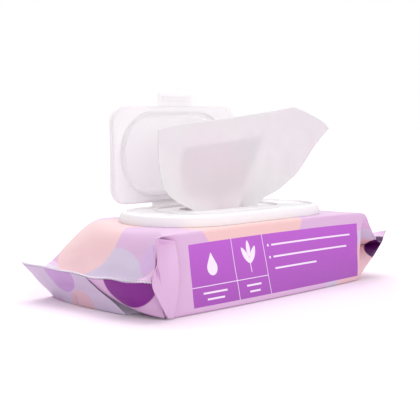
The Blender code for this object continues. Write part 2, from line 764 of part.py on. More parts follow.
def add_hinge_strap(lid, material, back):
    """Add the strap that runs from the hinge line round to the lid's lower edge."""
    width = HINGE_WIDTH - 2 * FIT_GAP
    foot = rounded_outline(width, 2 * HINGE_RADIUS, STRAP_CORNER, (0.0, 0.0), 2)
    strap = ((foot, -HINGE_RADIUS), (foot, back))
    combine(lid, lid_piece("hinge_foot_tool", strap, material), "UNION")
    top = LID_ROOT + STRAP_LAP
    riser_middle = (0.0, (top - HINGE_RADIUS) / 2)
    riser_outline = rounded_outline(width, top + HINGE_RADIUS, STRAP_CORNER, riser_middle, 2)
    riser = ((riser_outline, back - LID_PLATE + STRAP_STEP), (riser_outline, back - STRAP_STEP))
    combine(lid, lid_piece("hinge_riser_tool", riser, material), "UNION")


@dataclass(frozen=True)
class WipeFan:
    """Corners of the drawn-out wipe in millimetres, as it stands above the dispenser."""

    left_hip: Vector = Vector((-52.0, 10.0, 78.0))
    left_top: Vector = Vector((-42.0, 8.0, 108.0))
    peak: Vector = Vector((79.0, -2.0, 122.0))
    right_tip: Vector = Vector((118.0, -5.0, 108.0))
    right_hip: Vector = Vector((78.0, 3.0, 66.0))
    peak_share: float = 0.78


def fan_top(fan, share):
    """Return a point on the top edge of the wipe, from its left corner over the peak to its right tip."""
    if share < fan.peak_share:
        part = share / fan.peak_share
        sag = Vector((0.0, 0.0, WIPE_TOP_SAG * math.sin(math.pi * part)))
        return fan.left_top.lerp(fan.peak, part) - sag
    return fan.peak.lerp(fan.right_tip, (share - fan.peak_share) / (1 - fan.peak_share))


def fan_point(fan, share, rise):
    """Return a point of the wipe, by its share from left to right and from dispenser to top edge."""
    root_x = DISPENSER_X + WIPE_ROOT_SHIFT + WIPE_ROOT_WIDTH * (share - 0.5)
    root = Vector((root_x, ORIFICE_Y, BASE_TOP))
    hip = fan.left_hip.lerp(fan.right_hip, share)
    top = fan_top(fan, share)
    point = root * (1 - rise) ** 2 + hip * 2 * rise * (1 - rise) + top * rise ** 2
    gather = WIPE_ROOT_WAVE * math.cos(2 * math.pi * WIPE_ROOT_WAVES * share) * (1 - rise) ** 2
    drape = WIPE_FAN_WAVE * math.sin(2 * math.pi * share) * rise
    point.y += gather + drape
    return point


def build_wipe(material):
    """Build the wipe that stands out of the orifice: gathered where it leaves, fanned out above."""
    fan = WipeFan()
    columns = WIPE_COLUMNS
    rows = []
    for height in (STACK_TOP + FIT_GAP, DECK_TOP):
        row = []
        for column in range(columns + 1):
            point = fan_point(fan, column / columns, 0.0)
            point.z = height
            row.append(point)
        rows.append(row)
    for rise in WIPE_RISES:
        rows.append([fan_point(fan, column / columns, rise) for column in range(columns + 1)])
    loops = []
    offset = Vector((0.0, WIPE_THICKNESS / 2, 0.0))
    for row in rows:
        loops.append([point - offset for point in row] + [point + offset for point in reversed(row)])
    bm = loft(loops, False, False)
    bm.verts.ensure_lookup_table()
    size = len(loops[0])
    for start in (0, (len(loops) - 1) * size):
        for column in range(columns):
            front = (start + column, start + column + 1)
            behind = (start + size - 2 - column, start + size - 1 - column)
            bm.faces.new([bm.verts[index] for index in (*front, *behind)])
    bmesh.ops.triangulate(bm, faces=bm.faces)
    return finish_object("pulled_wipe", bm, material, 60.0)


def build_pack():
    """Build every piece of the pack."""
    clear_scene()
    film = plain_material("printed_film", (0.74, 0.58, 0.80), 0.35)
    plastic = plain_material("white_polypropylene", (0.91, 0.90, 0.91), 0.4)
    cloth = plain_material("nonwoven", (0.86, 0.85, 0.86), 0.9)
    glue = plain_material("clear_adhesive", (0.85, 0.85, 0.80), 0.3, 0.5)
    build_film(film)
    build_stack(cloth)
    build_adhesive(glue)
    build_base(plastic)
    build_lid(plastic)
    build_wipe(cloth)


build_pack()
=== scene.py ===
"""Looks of the wet wipes pack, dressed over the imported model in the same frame.

The pack lies with its long side along X and its near side facing -Y, on a floor at Z = 0.
Sizes in the classes are millimetres; mm() turns them to metres.
"""
import logging
import math
from dataclasses import dataclass, field
from enum import Enum
from typing import Callable, Optional, Sequence, Union

import bmesh
import bpy
from mathutils import Matrix, Vector, noise


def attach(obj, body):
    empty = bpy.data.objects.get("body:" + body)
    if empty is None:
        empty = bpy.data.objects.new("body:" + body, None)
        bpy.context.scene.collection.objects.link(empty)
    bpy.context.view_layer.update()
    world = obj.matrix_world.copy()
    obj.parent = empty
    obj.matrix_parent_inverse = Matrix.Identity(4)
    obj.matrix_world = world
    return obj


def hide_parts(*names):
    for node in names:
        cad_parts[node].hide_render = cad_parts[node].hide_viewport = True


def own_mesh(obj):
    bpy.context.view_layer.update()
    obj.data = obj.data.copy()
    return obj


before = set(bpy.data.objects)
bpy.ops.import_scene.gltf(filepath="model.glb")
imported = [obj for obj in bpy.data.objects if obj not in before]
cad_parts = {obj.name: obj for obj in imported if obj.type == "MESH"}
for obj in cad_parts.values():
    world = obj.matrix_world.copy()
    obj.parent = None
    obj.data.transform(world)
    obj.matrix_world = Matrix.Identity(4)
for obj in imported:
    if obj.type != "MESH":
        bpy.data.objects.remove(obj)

logging.basicConfig(level=logging.INFO, format="%(message)s")
LOG = logging.getLogger("wet_wipes_pack")

METRES_PER_MM = 0.001
MM_PER_METRE = 1000.0
PLACE_SLACK = 1e-5
LEVEL_SLACK = 1e-6
EDGE_ANGLE = 40.0
Pair = tuple[float, float]
Point = tuple[float, float, float]
Box = tuple[float, float, float, float]
Tree = bpy.types.NodeTree
Socket = bpy.types.NodeSocket
Input = Union[bpy.types.NodeSocket, float, Sequence[float]]


class Body(Enum):
    """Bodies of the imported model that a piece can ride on."""

    PACK = "pack"
    LID = "lid"


class Slot(Enum):
    """Material slots of the record that the drawn pieces use."""

    FILM = "printed_film"
    PLASTIC = "white_polypropylene"
    CLOTH = "nonwoven"


class Panel(Enum):
    """The two broad panels of the wrapper."""

    TOP = 1
    BOTTOM = -1


def mm(value: float) -> float:
    """Return a length in metres for one in millimetres."""
    return value * METRES_PER_MM


def mm_point(x: float, y: float, z: float) -> Vector:
    """Return a place in metres for one in millimetres."""
    return Vector((x, y, z)) * METRES_PER_MM


def linear(hex_colour: str) -> tuple[float, float, float, float]:
    """Turn an sRGB hex colour to linear light.

    Args:
        hex_colour: Six hex digits after a hash sign.

    Returns:
        Red, green, blue and alpha in linear light.
    """
    channels = []
    for start in (1, 3, 5):
        value = int(hex_colour[start:start + 2], 16) / 255
        channels.append(value / 12.92 if value <= 0.04045 else ((value + 0.055) / 1.055) ** 2.4)
    return (channels[0], channels[1], channels[2], 1.0)


def blend_share(low: float, high: float, value: float) -> float:
    """Return a smooth share from 0 at low to 1 at high."""
    share = max(0.0, min(1.0, (value - low) / (high - low)))
    return share * share * (3 - 2 * share)


# ---------------------------------------------------------------- node helper
def add_node(
    tree: Tree, kind: str, links: Optional[dict[Union[str, int], Input]] = None, **settings: str
) -> bpy.types.Node:
    """Add a shader node with its settings and links.

    Args:
        tree: Node tree of the material.
        kind: Blender's name of the node type.
        links: For each input, by name or number, a socket to link or a value to set.
        settings: Properties of the node.

    Returns:
        The new node.
    """
    node = tree.nodes.new(kind)
    for name, value in settings.items():
        setattr(node, name, value)
    for key, value in (links or {}).items():
        if isinstance(value, bpy.types.NodeSocket):
            tree.links.new(value, node.inputs[key])
        else:
            node.inputs[key].default_value = value
    return node


def new_material(name: str) -> tuple[bpy.types.Material, Tree, bpy.types.Node]:
    """Return a material, its tree and its Principled shader.

    Args:
        name: Name of the material.

    Returns:
        The material, its node tree and its Principled shader.
    """
    material = bpy.data.materials.new(name)
    material.use_nodes = True
    tree = material.node_tree
    return material, tree, tree.nodes["Principled BSDF"]


# ---------------------------------------------------------------- finishes
@dataclass(frozen=True)
class FilmBlob:
    """One large round field of colour on the wrapper's film, inside a ball, in millimetres: mostly print,
    and at the right end's near tuck a painted shade.
    """

    centre: Point
    radius: float
    colour: str


@dataclass(frozen=True)
class LaminatedFilm:
    """Gravure-printed PET and PE laminate: a satin sheen over fields of ink, the label's purple darkened
    towards its bottom as painted shade, with fine crinkles.
    """

    base: str = "#DCB6DA"
    # The label's purple at its lit top edge, and darkened as painted shade at its bottom edge.
    label_top: str = "#BB58CE"
    label_low_painted_shade: str = "#A64BB6"
    ink: str = "#F7ECFA"
    roughness: float = 0.36
    ior: float = 1.5
    coat: float = 0.12
    coat_roughness: float = 0.22
    crinkle_mm: float = 7.0
    crinkle_height_mm: float = 0.4
    crinkle_strength: float = 0.35
    blobs: tuple[FilmBlob, ...] = ()
    blob_edge: float = 0.4
    labelled: bool = True
    label_box: Box = (-75.0, 92.0, 3.6, 41.0)
    label_limit: float = -40.0
    label_columns: Pair = (-35.0, -5.0)
    label_shelf: float = 15.3
    column_rule: float = 0.45
    shelf_rule: float = 0.44
    mark_edge: float = 0.1
    drop_mark: Point = (-55.5, 25.6, 4.6)
    drop_taper: float = 0.58
    drop_shoulder: float = 1.16
    drop_neck: float = 0.5
    leaf_edge: float = 0.08
    leaf_power: float = 1.6
    leaf_marks: tuple[tuple[Pair, Pair, float], ...] = (
        ((-23.4, 29.6), (2.1, 6.0), -32.0), ((-16.6, 29.6), (2.1, 6.0), 32.0),
        ((-20.0, 33.4), (1.9, 5.2), 0.0),
        ((-0.4, 33.75), (0.9, 0.9), 0.0), ((-0.4, 26.15), (0.9, 0.9), 0.0),
    )
    bar_marks: tuple[Box, ...] = (
        (-20.3, -19.7, 19.0, 29.5),
        (-66.0, -45.0, 10.6, 11.7), (-63.0, -48.0, 6.8, 7.9),
        (-27.0, -13.0, 10.6, 11.7), (-25.0, -15.0, 6.8, 7.9),
        (3.0, 84.0, 33.2, 34.3), (3.0, 80.0, 25.6, 26.7), (3.0, 46.0, 18.2, 19.3),
    )

    def build(self) -> bpy.types.Material:
        """Return the printed film's material, whose pattern lies on Object coordinates in millimetres.

        Returns:
            The material.
        """
        material, tree, shader = new_material("laminated_printed_film")
        place = add_node(tree, "ShaderNodeTexCoord").outputs["Object"]
        scaled = add_node(
            tree, "ShaderNodeVectorMath", {0: place, "Scale": MM_PER_METRE}, operation="SCALE"
        ).outputs[0]
        colour = self.field_colour(tree, scaled)
        if self.labelled:
            split = add_node(tree, "ShaderNodeSeparateXYZ", {0: scaled}).outputs
            colour = self.label_colour(tree, (split["X"], split["Y"], split["Z"]), colour)
        tree.links.new(colour, shader.inputs["Base Color"])
        shader.inputs["Roughness"].default_value = self.roughness
        shader.inputs["IOR"].default_value = self.ior
        shader.inputs["Coat Weight"].default_value = self.coat
        shader.inputs["Coat Roughness"].default_value = self.coat_roughness
        fine = add_node(
            tree, "ShaderNodeTexNoise", {"Vector": scaled, "Scale": 1 / self.crinkle_mm, "Detail": 3.0}
        )
        bump = add_node(
            tree, "ShaderNodeBump",
            {
                "Height": fine.outputs["Fac"], "Strength": self.crinkle_strength,
                "Distance": mm(self.crinkle_height_mm),
            },
        )
        tree.links.new(bump.outputs[0], shader.inputs["Normal"])
        return material

    def field_colour(self, tree: Tree, place: Socket) -> Socket:
        """Return the colour of the round fields over the base colour.

        Args:
            tree: Node tree of the material.
            place: Socket with the place in millimetres.

        Returns:
            Socket with the colour.
        """
        colour = add_node(tree, "ShaderNodeRGB")
        colour.outputs[0].default_value = linear(self.base)
        result = colour.outputs[0]
        for blob in self.blobs:
            away = add_node(tree, "ShaderNodeVectorMath", {0: place, 1: blob.centre}, operation="DISTANCE")
            inside = self.below(tree, away.outputs["Value"], blob.radius, self.blob_edge)
            result = self.mix(tree, inside, result, linear(blob.colour))
        return result

    def mix(self, tree: Tree, share: Input, first: Input, second: Input) -> Socket:
        """Return a mix of two colours by a share."""
        return add_node(tree, "ShaderNodeMix", {0: share, 6: first, 7: second}, data_type="RGBA").outputs[2]

    def math(self, tree: Tree, operation: str, *values: Input) -> Socket:
        """Return the result of a Math node."""
        return add_node(tree, "ShaderNodeMath", dict(enumerate(values)), operation=operation).outputs[0]

    def below(self, tree: Tree, value: Input, limit: float, edge: float) -> Socket:
        """Return 1 where a value is below a limit, fading out over an edge on both sides of it."""
        ends = {"Value": value, "From Min": limit + edge, "From Max": limit - edge}
        return add_node(tree, "ShaderNodeMapRange", ends).outputs[0]

    def near(self, tree: Tree, value: Input, centre: float, half: float) -> Socket:
        """Return 1 where a coordinate lies within half of a centre."""
        away = self.math(tree, "ABSOLUTE", self.math(tree, "SUBTRACT", value, centre))
        return self.below(tree, away, half, self.mark_edge)

    def bar(self, tree: Tree, x: Socket, z: Socket, box: Box) -> Socket:
        """Return 1 inside a rectangle.

        Args:
            tree: Node tree of the material.
            x: Socket with x in millimetres.
            z: Socket with z in millimetres.
            box: Low x, high x, low z and high z in millimetres.

        Returns:
            Socket with 1 inside the rectangle and 0 outside.
        """
        across = self.near(tree, x, (box[0] + box[1]) / 2, (box[1] - box[0]) / 2)
        upright = self.near(tree, z, (box[2] + box[3]) / 2, (box[3] - box[2]) / 2)
        return self.math(tree, "MULTIPLY", across, upright)

    def leaf(self, tree: Tree, x: Socket, z: Socket, centre: Pair, half: Pair, lean: float) -> Socket:
        """Return 1 inside an oval leaf with drawn-out ends.

        Args:
            tree: Node tree of the material.
            x: Socket with x in millimetres.
            z: Socket with z in millimetres.
            centre: Middle of the leaf, as x and z.
            half: Half its width and half its length.
            lean: Lean from upright, in degrees.

        Returns:
            Socket with 1 inside the leaf and 0 outside.
        """
        turn = math.radians(lean)
        dx = self.math(tree, "SUBTRACT", x, centre[0])
        dz = self.math(tree, "SUBTRACT", z, centre[1])
        across = self.math(
            tree, "MULTIPLY_ADD", dx, math.cos(turn), self.math(tree, "MULTIPLY", dz, -math.sin(turn))
        )
        along = self.math(
            tree, "MULTIPLY_ADD", dx, math.sin(turn), self.math(tree, "MULTIPLY", dz, math.cos(turn))
        )
        parts = []
        for offset, reach in zip((across, along), half):
            share = self.math(tree, "DIVIDE", self.math(tree, "ABSOLUTE", offset), reach)
            parts.append(self.math(tree, "POWER", share, self.leaf_power))
        return self.below(tree, self.math(tree, "ADD", *parts), 1.0, self.leaf_edge)

    def drop(self, tree: Tree, x: Socket, z: Socket) -> Socket:
        """Return 1 inside a water drop: a disc with a pointed top.

        Args:
            tree: Node tree of the material.
            x: Socket with x in millimetres.
            z: Socket with z in millimetres.

        Returns:
            Socket with 1 inside the drop and 0 outside.
        """
        low_x, low_z, radius = self.drop_mark
        dx = self.math(tree, "ABSOLUTE", self.math(tree, "SUBTRACT", x, low_x))
        dz = self.math(tree, "SUBTRACT", z, low_z)
        square = self.math(
            tree, "ADD", self.math(tree, "MULTIPLY", dx, dx), self.math(tree, "MULTIPLY", dz, dz)
        )
        disc = self.below(tree, self.math(tree, "SQRT", square), radius, self.mark_edge)
        slope = self.math(tree, "MULTIPLY_ADD", dz, self.drop_taper, dx)
        cone = self.below(tree, slope, radius * self.drop_shoulder, self.mark_edge)
        upper = self.math(tree, "GREATER_THAN", dz, radius * self.drop_neck)
        return self.math(tree, "MAXIMUM", disc, self.math(tree, "MULTIPLY", cone, upper))

    def label_colour(self, tree: Tree, place: tuple[Socket, Socket, Socket], colour: Socket) -> Socket:
        """Return the colour with the label on the near wall: a purple field darkened towards its bottom as
        painted shade, rules and generic marks.

        Args:
            tree: Node tree of the material.
            place: Sockets with x, y and z in millimetres.
            colour: Colour of the film around the label.

        Returns:
            Socket with the colour.
        """
        x, y, z = place
        low_x, _, low_z, high_z = self.label_box
        near_wall = self.math(tree, "LESS_THAN", y, self.label_limit)
        label = self.math(tree, "MULTIPLY", self.bar(tree, x, z, self.label_box), near_wall)
        # Painted shade: the label's purple grows darker from its top edge down to its bottom edge.
        depth = add_node(tree, "ShaderNodeMapRange", {"Value": z, "From Min": low_z, "From Max": high_z})
        purple = self.mix(tree, depth.outputs[0], linear(self.label_low_painted_shade), linear(self.label_top))
        half_rule = self.shelf_rule / 2
        shelf = (low_x, self.label_columns[1], self.label_shelf - half_rule, self.label_shelf + half_rule)
        marks = [self.near(tree, x, column, self.column_rule / 2) for column in self.label_columns]
        marks += [self.bar(tree, x, z, bar) for bar in (shelf, *self.bar_marks)]
        marks += [self.leaf(tree, x, z, *leaf) for leaf in self.leaf_marks]
        ink = self.drop(tree, x, z)
        for mark in marks:
            ink = self.math(tree, "MAXIMUM", ink, mark)
        return self.mix(tree, label, colour, self.mix(tree, ink, purple, linear(self.ink)))


@dataclass(frozen=True)
class MouldedPlastic:
    """Injection-moulded polypropylene: white, satin, lit through where thin, with a fine spark grain."""

    name: str = "moulded_white_polypropylene"
    colour: str = "#F3F0F2"
    roughness: float = 0.38
    roughness_spread: Pair = (-0.05, 0.06)
    ior: float = 1.49
    cloud_mm: float = 18.0
    grain_mm: float = 0.45
    grain_height_mm: float = 0.012
    grain_strength: float = 0.25
    scatter: float = 0.12
    scatter_mm: float = 1.4

    def build(self) -> bpy.types.Material:
        """Return the plastic's material.

        Returns:
            The material.
        """
        material, tree, shader = new_material(self.name)
        place = add_node(tree, "ShaderNodeTexCoord").outputs["Object"]
        shader.inputs["Base Color"].default_value = linear(self.colour)
        shader.inputs["IOR"].default_value = self.ior
        shader.inputs["Subsurface Weight"].default_value = self.scatter
        shader.inputs["Subsurface Radius"].default_value = (mm(self.scatter_mm),) * 3
        shader.inputs["Subsurface Scale"].default_value = 1.0
        cloud = add_node(
            tree, "ShaderNodeTexNoise", {"Vector": place, "Scale": 1 / mm(self.cloud_mm), "Detail": 2.0}
        )
        smoother, rougher = [self.roughness + change for change in self.roughness_spread]
        rough = add_node(
            tree, "ShaderNodeMapRange",
            {"Value": cloud.outputs["Fac"], "To Min": smoother, "To Max": rougher},
        )
        tree.links.new(rough.outputs[0], shader.inputs["Roughness"])
        grain = add_node(
            tree, "ShaderNodeTexNoise", {"Vector": place, "Scale": 1 / mm(self.grain_mm), "Detail": 1.0}
        )
        bump = add_node(
            tree, "ShaderNodeBump",
            {
                "Height": grain.outputs["Fac"], "Strength": self.grain_strength,
                "Distance": mm(self.grain_height_mm),
            },
        )
        tree.links.new(bump.outputs[0], shader.inputs["Normal"])
        return material


@dataclass(frozen=True)
class Nonwoven:
    """Spunlace nonwoven: a matt, moist web of fine fibres, slightly see-through, cloudy where thicker."""

    name: str = "moist_spunlace_nonwoven"
    thin: str = "#EFEDEE"
    thick: str = "#E3DFE1"
    roughness: float = 0.85
    sheen: float = 0.15
    scatter: float = 0.25
    scatter_mm: Point = (3.0, 2.6, 2.6)
    fibre_mm: float = 0.6
    fibre_stretch: Point = (1.0, 1.0, 0.35)
    fibre_height_mm: float = 0.08
    fibre_strength: float = 0.3
    cloud_mm: float = 14.0
    alpha: float = 0.95
    # Painted pinkish shading: a pinker tint round a point low in the middle of the drawn wipe.
    pink_shading: str = "#F0E2E8"
    pink_shading_centre: Point = (8.0, 5.0, 74.0)
    pink_shading_reach: Pair = (20.0, 42.0)

    def build(self) -> bpy.types.Material:
        """Return the cloth's material, with a cloudy tone, painted pinkish shading in its middle and a
        fibre bump.

        Returns:
            The material.
        """
        material, tree, shader = new_material(self.name)
        place = add_node(tree, "ShaderNodeTexCoord").outputs["Object"]
        tree.links.new(self.tone(tree, place), shader.inputs["Base Color"])
        shader.inputs["Roughness"].default_value = self.roughness
        shader.inputs["Sheen Weight"].default_value = self.sheen
        shader.inputs["Alpha"].default_value = self.alpha
        shader.inputs["Subsurface Weight"].default_value = self.scatter
        shader.inputs["Subsurface Radius"].default_value = mm_point(*self.scatter_mm)
        shader.inputs["Subsurface Scale"].default_value = 1.0
        stretched = add_node(tree, "ShaderNodeMapping", {"Vector": place, "Scale": self.fibre_stretch})
        fibre = add_node(
            tree, "ShaderNodeTexNoise",
            {"Vector": stretched.outputs[0], "Scale": 1 / mm(self.fibre_mm), "Detail": 2.0},
        )
        bump = add_node(
            tree, "ShaderNodeBump",
            {
                "Height": fibre.outputs["Fac"], "Strength": self.fibre_strength,
                "Distance": mm(self.fibre_height_mm),
            },
        )
        tree.links.new(bump.outputs[0], shader.inputs["Normal"])
        return material

    def tone(self, tree: Tree, place: Socket) -> Socket:
        """Return the cloth's colour: clouds of thin and thick web, and painted pinkish shading round a
        point in its middle.

        Args:
            tree: Node tree of the material.
            place: Socket with the place in metres.

        Returns:
            Socket with the colour.
        """
        cloud = add_node(
            tree, "ShaderNodeTexNoise", {"Vector": place, "Scale": 1 / mm(self.cloud_mm), "Detail": 3.0}
        )
        web = add_node(
            tree, "ShaderNodeMix",
            {0: cloud.outputs["Fac"], 6: linear(self.thin), 7: linear(self.thick)}, data_type="RGBA",
        )
        away = add_node(
            tree, "ShaderNodeVectorMath", {0: place, 1: mm_point(*self.pink_shading_centre)}, operation="DISTANCE"
        )
        full, untinted = self.pink_shading_reach
        share = add_node(
            tree, "ShaderNodeMapRange",
            {"Value": away.outputs["Value"], "From Min": mm(untinted), "From Max": mm(full)},
        )
        return add_node(
            tree, "ShaderNodeMix",
            {0: share.outputs[0], 6: web.outputs[2], 7: linear(self.pink_shading)}, data_type="RGBA",
        ).outputs[2]


@dataclass(frozen=True)
class ClearAdhesive:
    """Hot-melt adhesive: clear, slightly yellow and glossy."""

    colour: str = "#F1EEE2"
    clearness: float = 0.5
    bead_mm: float = 2.0
    roughness: Pair = (0.15, 0.4)

    def build(self) -> bpy.types.Material:
        """Return the adhesive's material.

        Returns:
            The material.
        """
        material, tree, shader = new_material("clear_hot_melt_adhesive")
        place = add_node(tree, "ShaderNodeTexCoord").outputs["Object"]
        shader.inputs["Base Color"].default_value = linear(self.colour)
        shader.inputs["Transmission Weight"].default_value = self.clearness
        beads = add_node(tree, "ShaderNodeTexNoise", {"Vector": place, "Scale": 1 / mm(self.bead_mm)})
        smooth, rough = self.roughness
        spread = add_node(
            tree, "ShaderNodeMapRange", {"Value": beads.outputs["Fac"], "To Min": smooth, "To Max": rough}
        )
        tree.links.new(spread.outputs[0], shader.inputs["Roughness"])
        return material


# ---------------------------------------------------------------- modelling helpers
def clear_selection() -> None:
    """Leave edit mode and deselect every object."""
    if bpy.context.object and bpy.context.object.mode != "OBJECT":
        bpy.ops.object.mode_set(mode="OBJECT")
    bpy.ops.object.select_all(action="DESELECT")


def make_active(item: bpy.types.Object) -> None:
    """Select one object alone and make it active.

    Args:
        item: Object to select.
    """
    clear_selection()
    item.select_set(True)
    bpy.context.view_layer.objects.active = item


def pick_faces(item: bpy.types.Object, test: Callable[[bmesh.types.BMFace], bool]) -> None:
    """Select the faces of the object in edit mode that pass a test, and no others.

    Args:
        item: Object in edit mode.
        test: Test of one face.
    """
    bpy.ops.mesh.select_mode(type="FACE")
    bpy.ops.mesh.select_all(action="DESELECT")
    shape = bmesh.from_edit_mesh(item.data)
    for face in shape.faces:
        face.select_set(bool(test(face)))
    bmesh.update_edit_mesh(item.data)


def pick_edges(item: bpy.types.Object, test: Callable[[bmesh.types.BMEdge], bool]) -> None:
    """Select the edges of the object in edit mode that pass a test, and no others.

    Args:
        item: Object in edit mode.
        test: Test of one edge.
    """
    bpy.ops.mesh.select_mode(type="EDGE")
    bpy.ops.mesh.select_all(action="DESELECT")
    shape = bmesh.from_edit_mesh(item.data)
    for edge in shape.edges:
        if test(edge):
            edge.select_set(True)
    bmesh.update_edit_mesh(item.data)


def pick_points(item: bpy.types.Object, test: Callable[[Vector], bool]) -> None:
    """Select the points of the object in edit mode whose place passes a test, and no others.

    Args:
        item: Object in edit mode.
        test: Test of one place, in metres.
    """
    bpy.ops.mesh.select_mode(type="VERT")
    bpy.ops.mesh.select_all(action="DESELECT")
    shape = bmesh.from_edit_mesh(item.data)
    for point in shape.verts:
        point.select_set(bool(test(point.co)))
    bmesh.update_edit_mesh(item.data)


def add_oval(
    name: str, length: float, width: float, centre: Point, height: float, steps: int = 96
) -> bpy.types.Object:
    """Add an upright prism with a stadium outline, its sizes in millimetres.

    Args:
        name: Name of the object.
        length: Length of the outline along X.
        width: Width of the outline, twice its end radius.
        centre: Middle of the underside.
        height: Height of the prism.
        steps: Number of points round the outline.

    Returns:
        The new object.
    """
    clear_selection()
    bpy.ops.mesh.primitive_cylinder_add(
        vertices=steps, radius=mm(width / 2), depth=mm(height), end_fill_type="NGON",
        location=mm_point(centre[0], centre[1], centre[2] + height / 2),
    )
    item = bpy.context.object
    item.name = name
    bpy.ops.object.transform_apply(location=True, rotation=True, scale=True)
    stretch = mm((length - width) / 2)
    middle = mm(centre[0])
    bpy.ops.object.mode_set(mode="EDIT")
    pick_points(item, lambda place: place.x > middle + PLACE_SLACK)
    bpy.ops.transform.translate(value=(stretch, 0.0, 0.0))
    pick_points(item, lambda place: place.x < middle - PLACE_SLACK)
    bpy.ops.transform.translate(value=(-stretch, 0.0, 0.0))
    bpy.ops.object.mode_set(mode="OBJECT")
    return item


def add_block(name: str, size: Point, centre: Point, corner: float, steps: int) -> bpy.types.Object:
    """Add a block with rounded upright edges, its sizes in millimetres.

    Args:
        name: Name of the object.
        size: Lengths along X, Y and Z.
        centre: Middle of the underside.
        corner: Radius of the upright edges.
        steps: Number of segments in each rounded edge.

    Returns:
        The new object.
    """
    clear_selection()
    x, y, low = centre
    bpy.ops.mesh.primitive_cube_add(size=1.0, location=mm_point(x, y, low + size[2] / 2))
    item = bpy.context.object
    item.name = name
    item.scale = mm_point(*size)
    bpy.ops.object.transform_apply(location=True, rotation=True, scale=True)
    bpy.ops.object.mode_set(mode="EDIT")
    pick_edges(item, lambda edge: abs(edge.verts[0].co.z - edge.verts[1].co.z) > mm(size[2]) / 2)
    bpy.ops.mesh.bevel(offset=mm(corner), segments=steps, affect="EDGES")
    bpy.ops.object.mode_set(mode="OBJECT")
    return item


def step_face(item: bpy.types.Object, upward: bool, steps: Sequence[Pair]) -> None:
    """Shape the top or bottom face by insets in turn.

    Args:
        item: Object to change.
        upward: True for the top face, False for the bottom face.
        steps: Width and rise of each inset, in millimetres.
    """
    make_active(item)
    bpy.ops.object.mode_set(mode="EDIT")
    sign = 1 if upward else -1
    level = max(point.co.z * sign for point in item.data.vertices)

    def at_level(face: bmesh.types.BMFace) -> bool:
        """Return True for a flat face at the outermost level."""
        height = face.calc_center_median().z * sign
        return face.normal.z * sign > 0.9 and height > level - LEVEL_SLACK

    pick_faces(item, at_level)
    for width, rise in steps:
        bpy.ops.mesh.inset(thickness=mm(width), depth=mm(rise), use_even_offset=True)
    bpy.ops.object.mode_set(mode="OBJECT")


def cut_or_join(item: bpy.types.Object, other: bpy.types.Object, operation: str) -> None:
    """Apply a Boolean with another object, which is then removed.

    Args:
        item: Object to change.
        other: Object to cut with or to join.
        operation: DIFFERENCE or UNION.
    """
    make_active(item)
    modifier = item.modifiers.new("boolean", "BOOLEAN")
    modifier.operation = operation
    modifier.solver = "EXACT"
    modifier.object = other
    bpy.ops.object.modifier_apply(modifier=modifier.name)
    bpy.data.objects.remove(other, do_unlink=True)


def soften(item: bpy.types.Object, width: float, angle: float = 35.0, segments: int = 2) -> None:
    """Round the sharp edges by a width in millimetres and shade the rest smoothly.

    Args:
        item: Object to change.
        width: Width of the rounding, in millimetres.
        angle: Smallest angle of an edge to round, in degrees.
        segments: Number of segments in the rounding.
    """
    make_active(item)
    modifier = item.modifiers.new("edge_radius", "BEVEL")
    modifier.width = mm(width)
    modifier.segments = segments
    modifier.limit_method = "ANGLE"
    modifier.angle_limit = math.radians(angle)
    bpy.ops.object.modifier_apply(modifier=modifier.name)
    bpy.ops.object.shade_smooth_by_angle(angle=math.radians(EDGE_ANGLE))


def finish_piece(
    item: bpy.types.Object, material: bpy.types.Material, body: Body, slot: Slot, *stands_for: str
) -> None:
    """Dress a piece, set it to ride on its body, and hide the CAD nodes that it stands for.

    Args:
        item: Finished piece.
        material: Its material.
        body: Body that it rides on.
        slot: Material slot of the record; not used.
        stands_for: CAD nodes that it replaces.
    """
    item.data.materials.clear()
    item.data.materials.append(material)
    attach(item, body.value)
    if stands_for:
        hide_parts(*stands_for)
    LOG.info("%s: %d faces", item.name, len(item.data.polygons))


def grid_object(name: str, rows: Sequence[Sequence[Vector]], closed: bool) -> bpy.types.Object:
    """Make an object from rows of points in millimetres, joined by four-sided faces.

    Args:
        name: Name of the object.
        rows: Rows with the same number of points.
        closed: True where each row closes on itself.

    Returns:
        The new object, its normals pointing outwards.
    """
    shape = bmesh.new()
    points = [[shape.verts.new(point * METRES_PER_MM) for point in row] for row in rows]
    for first, second in zip(points, points[1:]):
        last = len(first) if closed else len(first) - 1
        for index in range(last):
            after = (index + 1) % len(first)
            shape.faces.new((first[index], first[after], second[after], second[index]))
    mesh = bpy.data.meshes.new(name)
    shape.to_mesh(mesh)
    shape.free()
    item = bpy.data.objects.new(name, mesh)
    bpy.context.scene.collection.objects.link(item)
    mesh.shade_smooth()
    return item


def subdivide_smoothly(item: bpy.types.Object, levels: int) -> None:
    """Apply a subdivision surface.

    Args:
        item: Object to change.
        levels: Number of subdivisions.
    """
    make_active(item)
    modifier = item.modifiers.new("smooth", "SUBSURF")
    modifier.levels = levels
    modifier.render_levels = levels
    bpy.ops.object.modifier_apply(modifier=modifier.name)


def along_curve(points: Sequence[Point], share: float) -> Vector:
    """Return the point at a share of the length of a smooth curve through points.

    Args:
        points: Places in millimetres that the curve passes.
        share: Share of the length from the first point to the last.

    Returns:
        The place in millimetres.
    """
    places = [Vector(point) for point in points]
    lengths = [(after - before).length for before, after in zip(places, places[1:])]
    wanted = share * sum(lengths)
    index = 0
    while index < len(lengths) - 1 and wanted > lengths[index]:
        wanted -= lengths[index]
        index += 1
    part = min(1.0, wanted / lengths[index])
    before = places[max(0, index - 1)]
    first, second = places[index], places[index + 1]
    after = places[min(len(places) - 1, index + 2)]
    value = first * 2 + (second - before) * part
    value += (before * 2 - first * 5 + second * 4 - after) * part ** 2
    value += (first * 3 - before - second * 3 + after) * part ** 3
    return value * 0.5


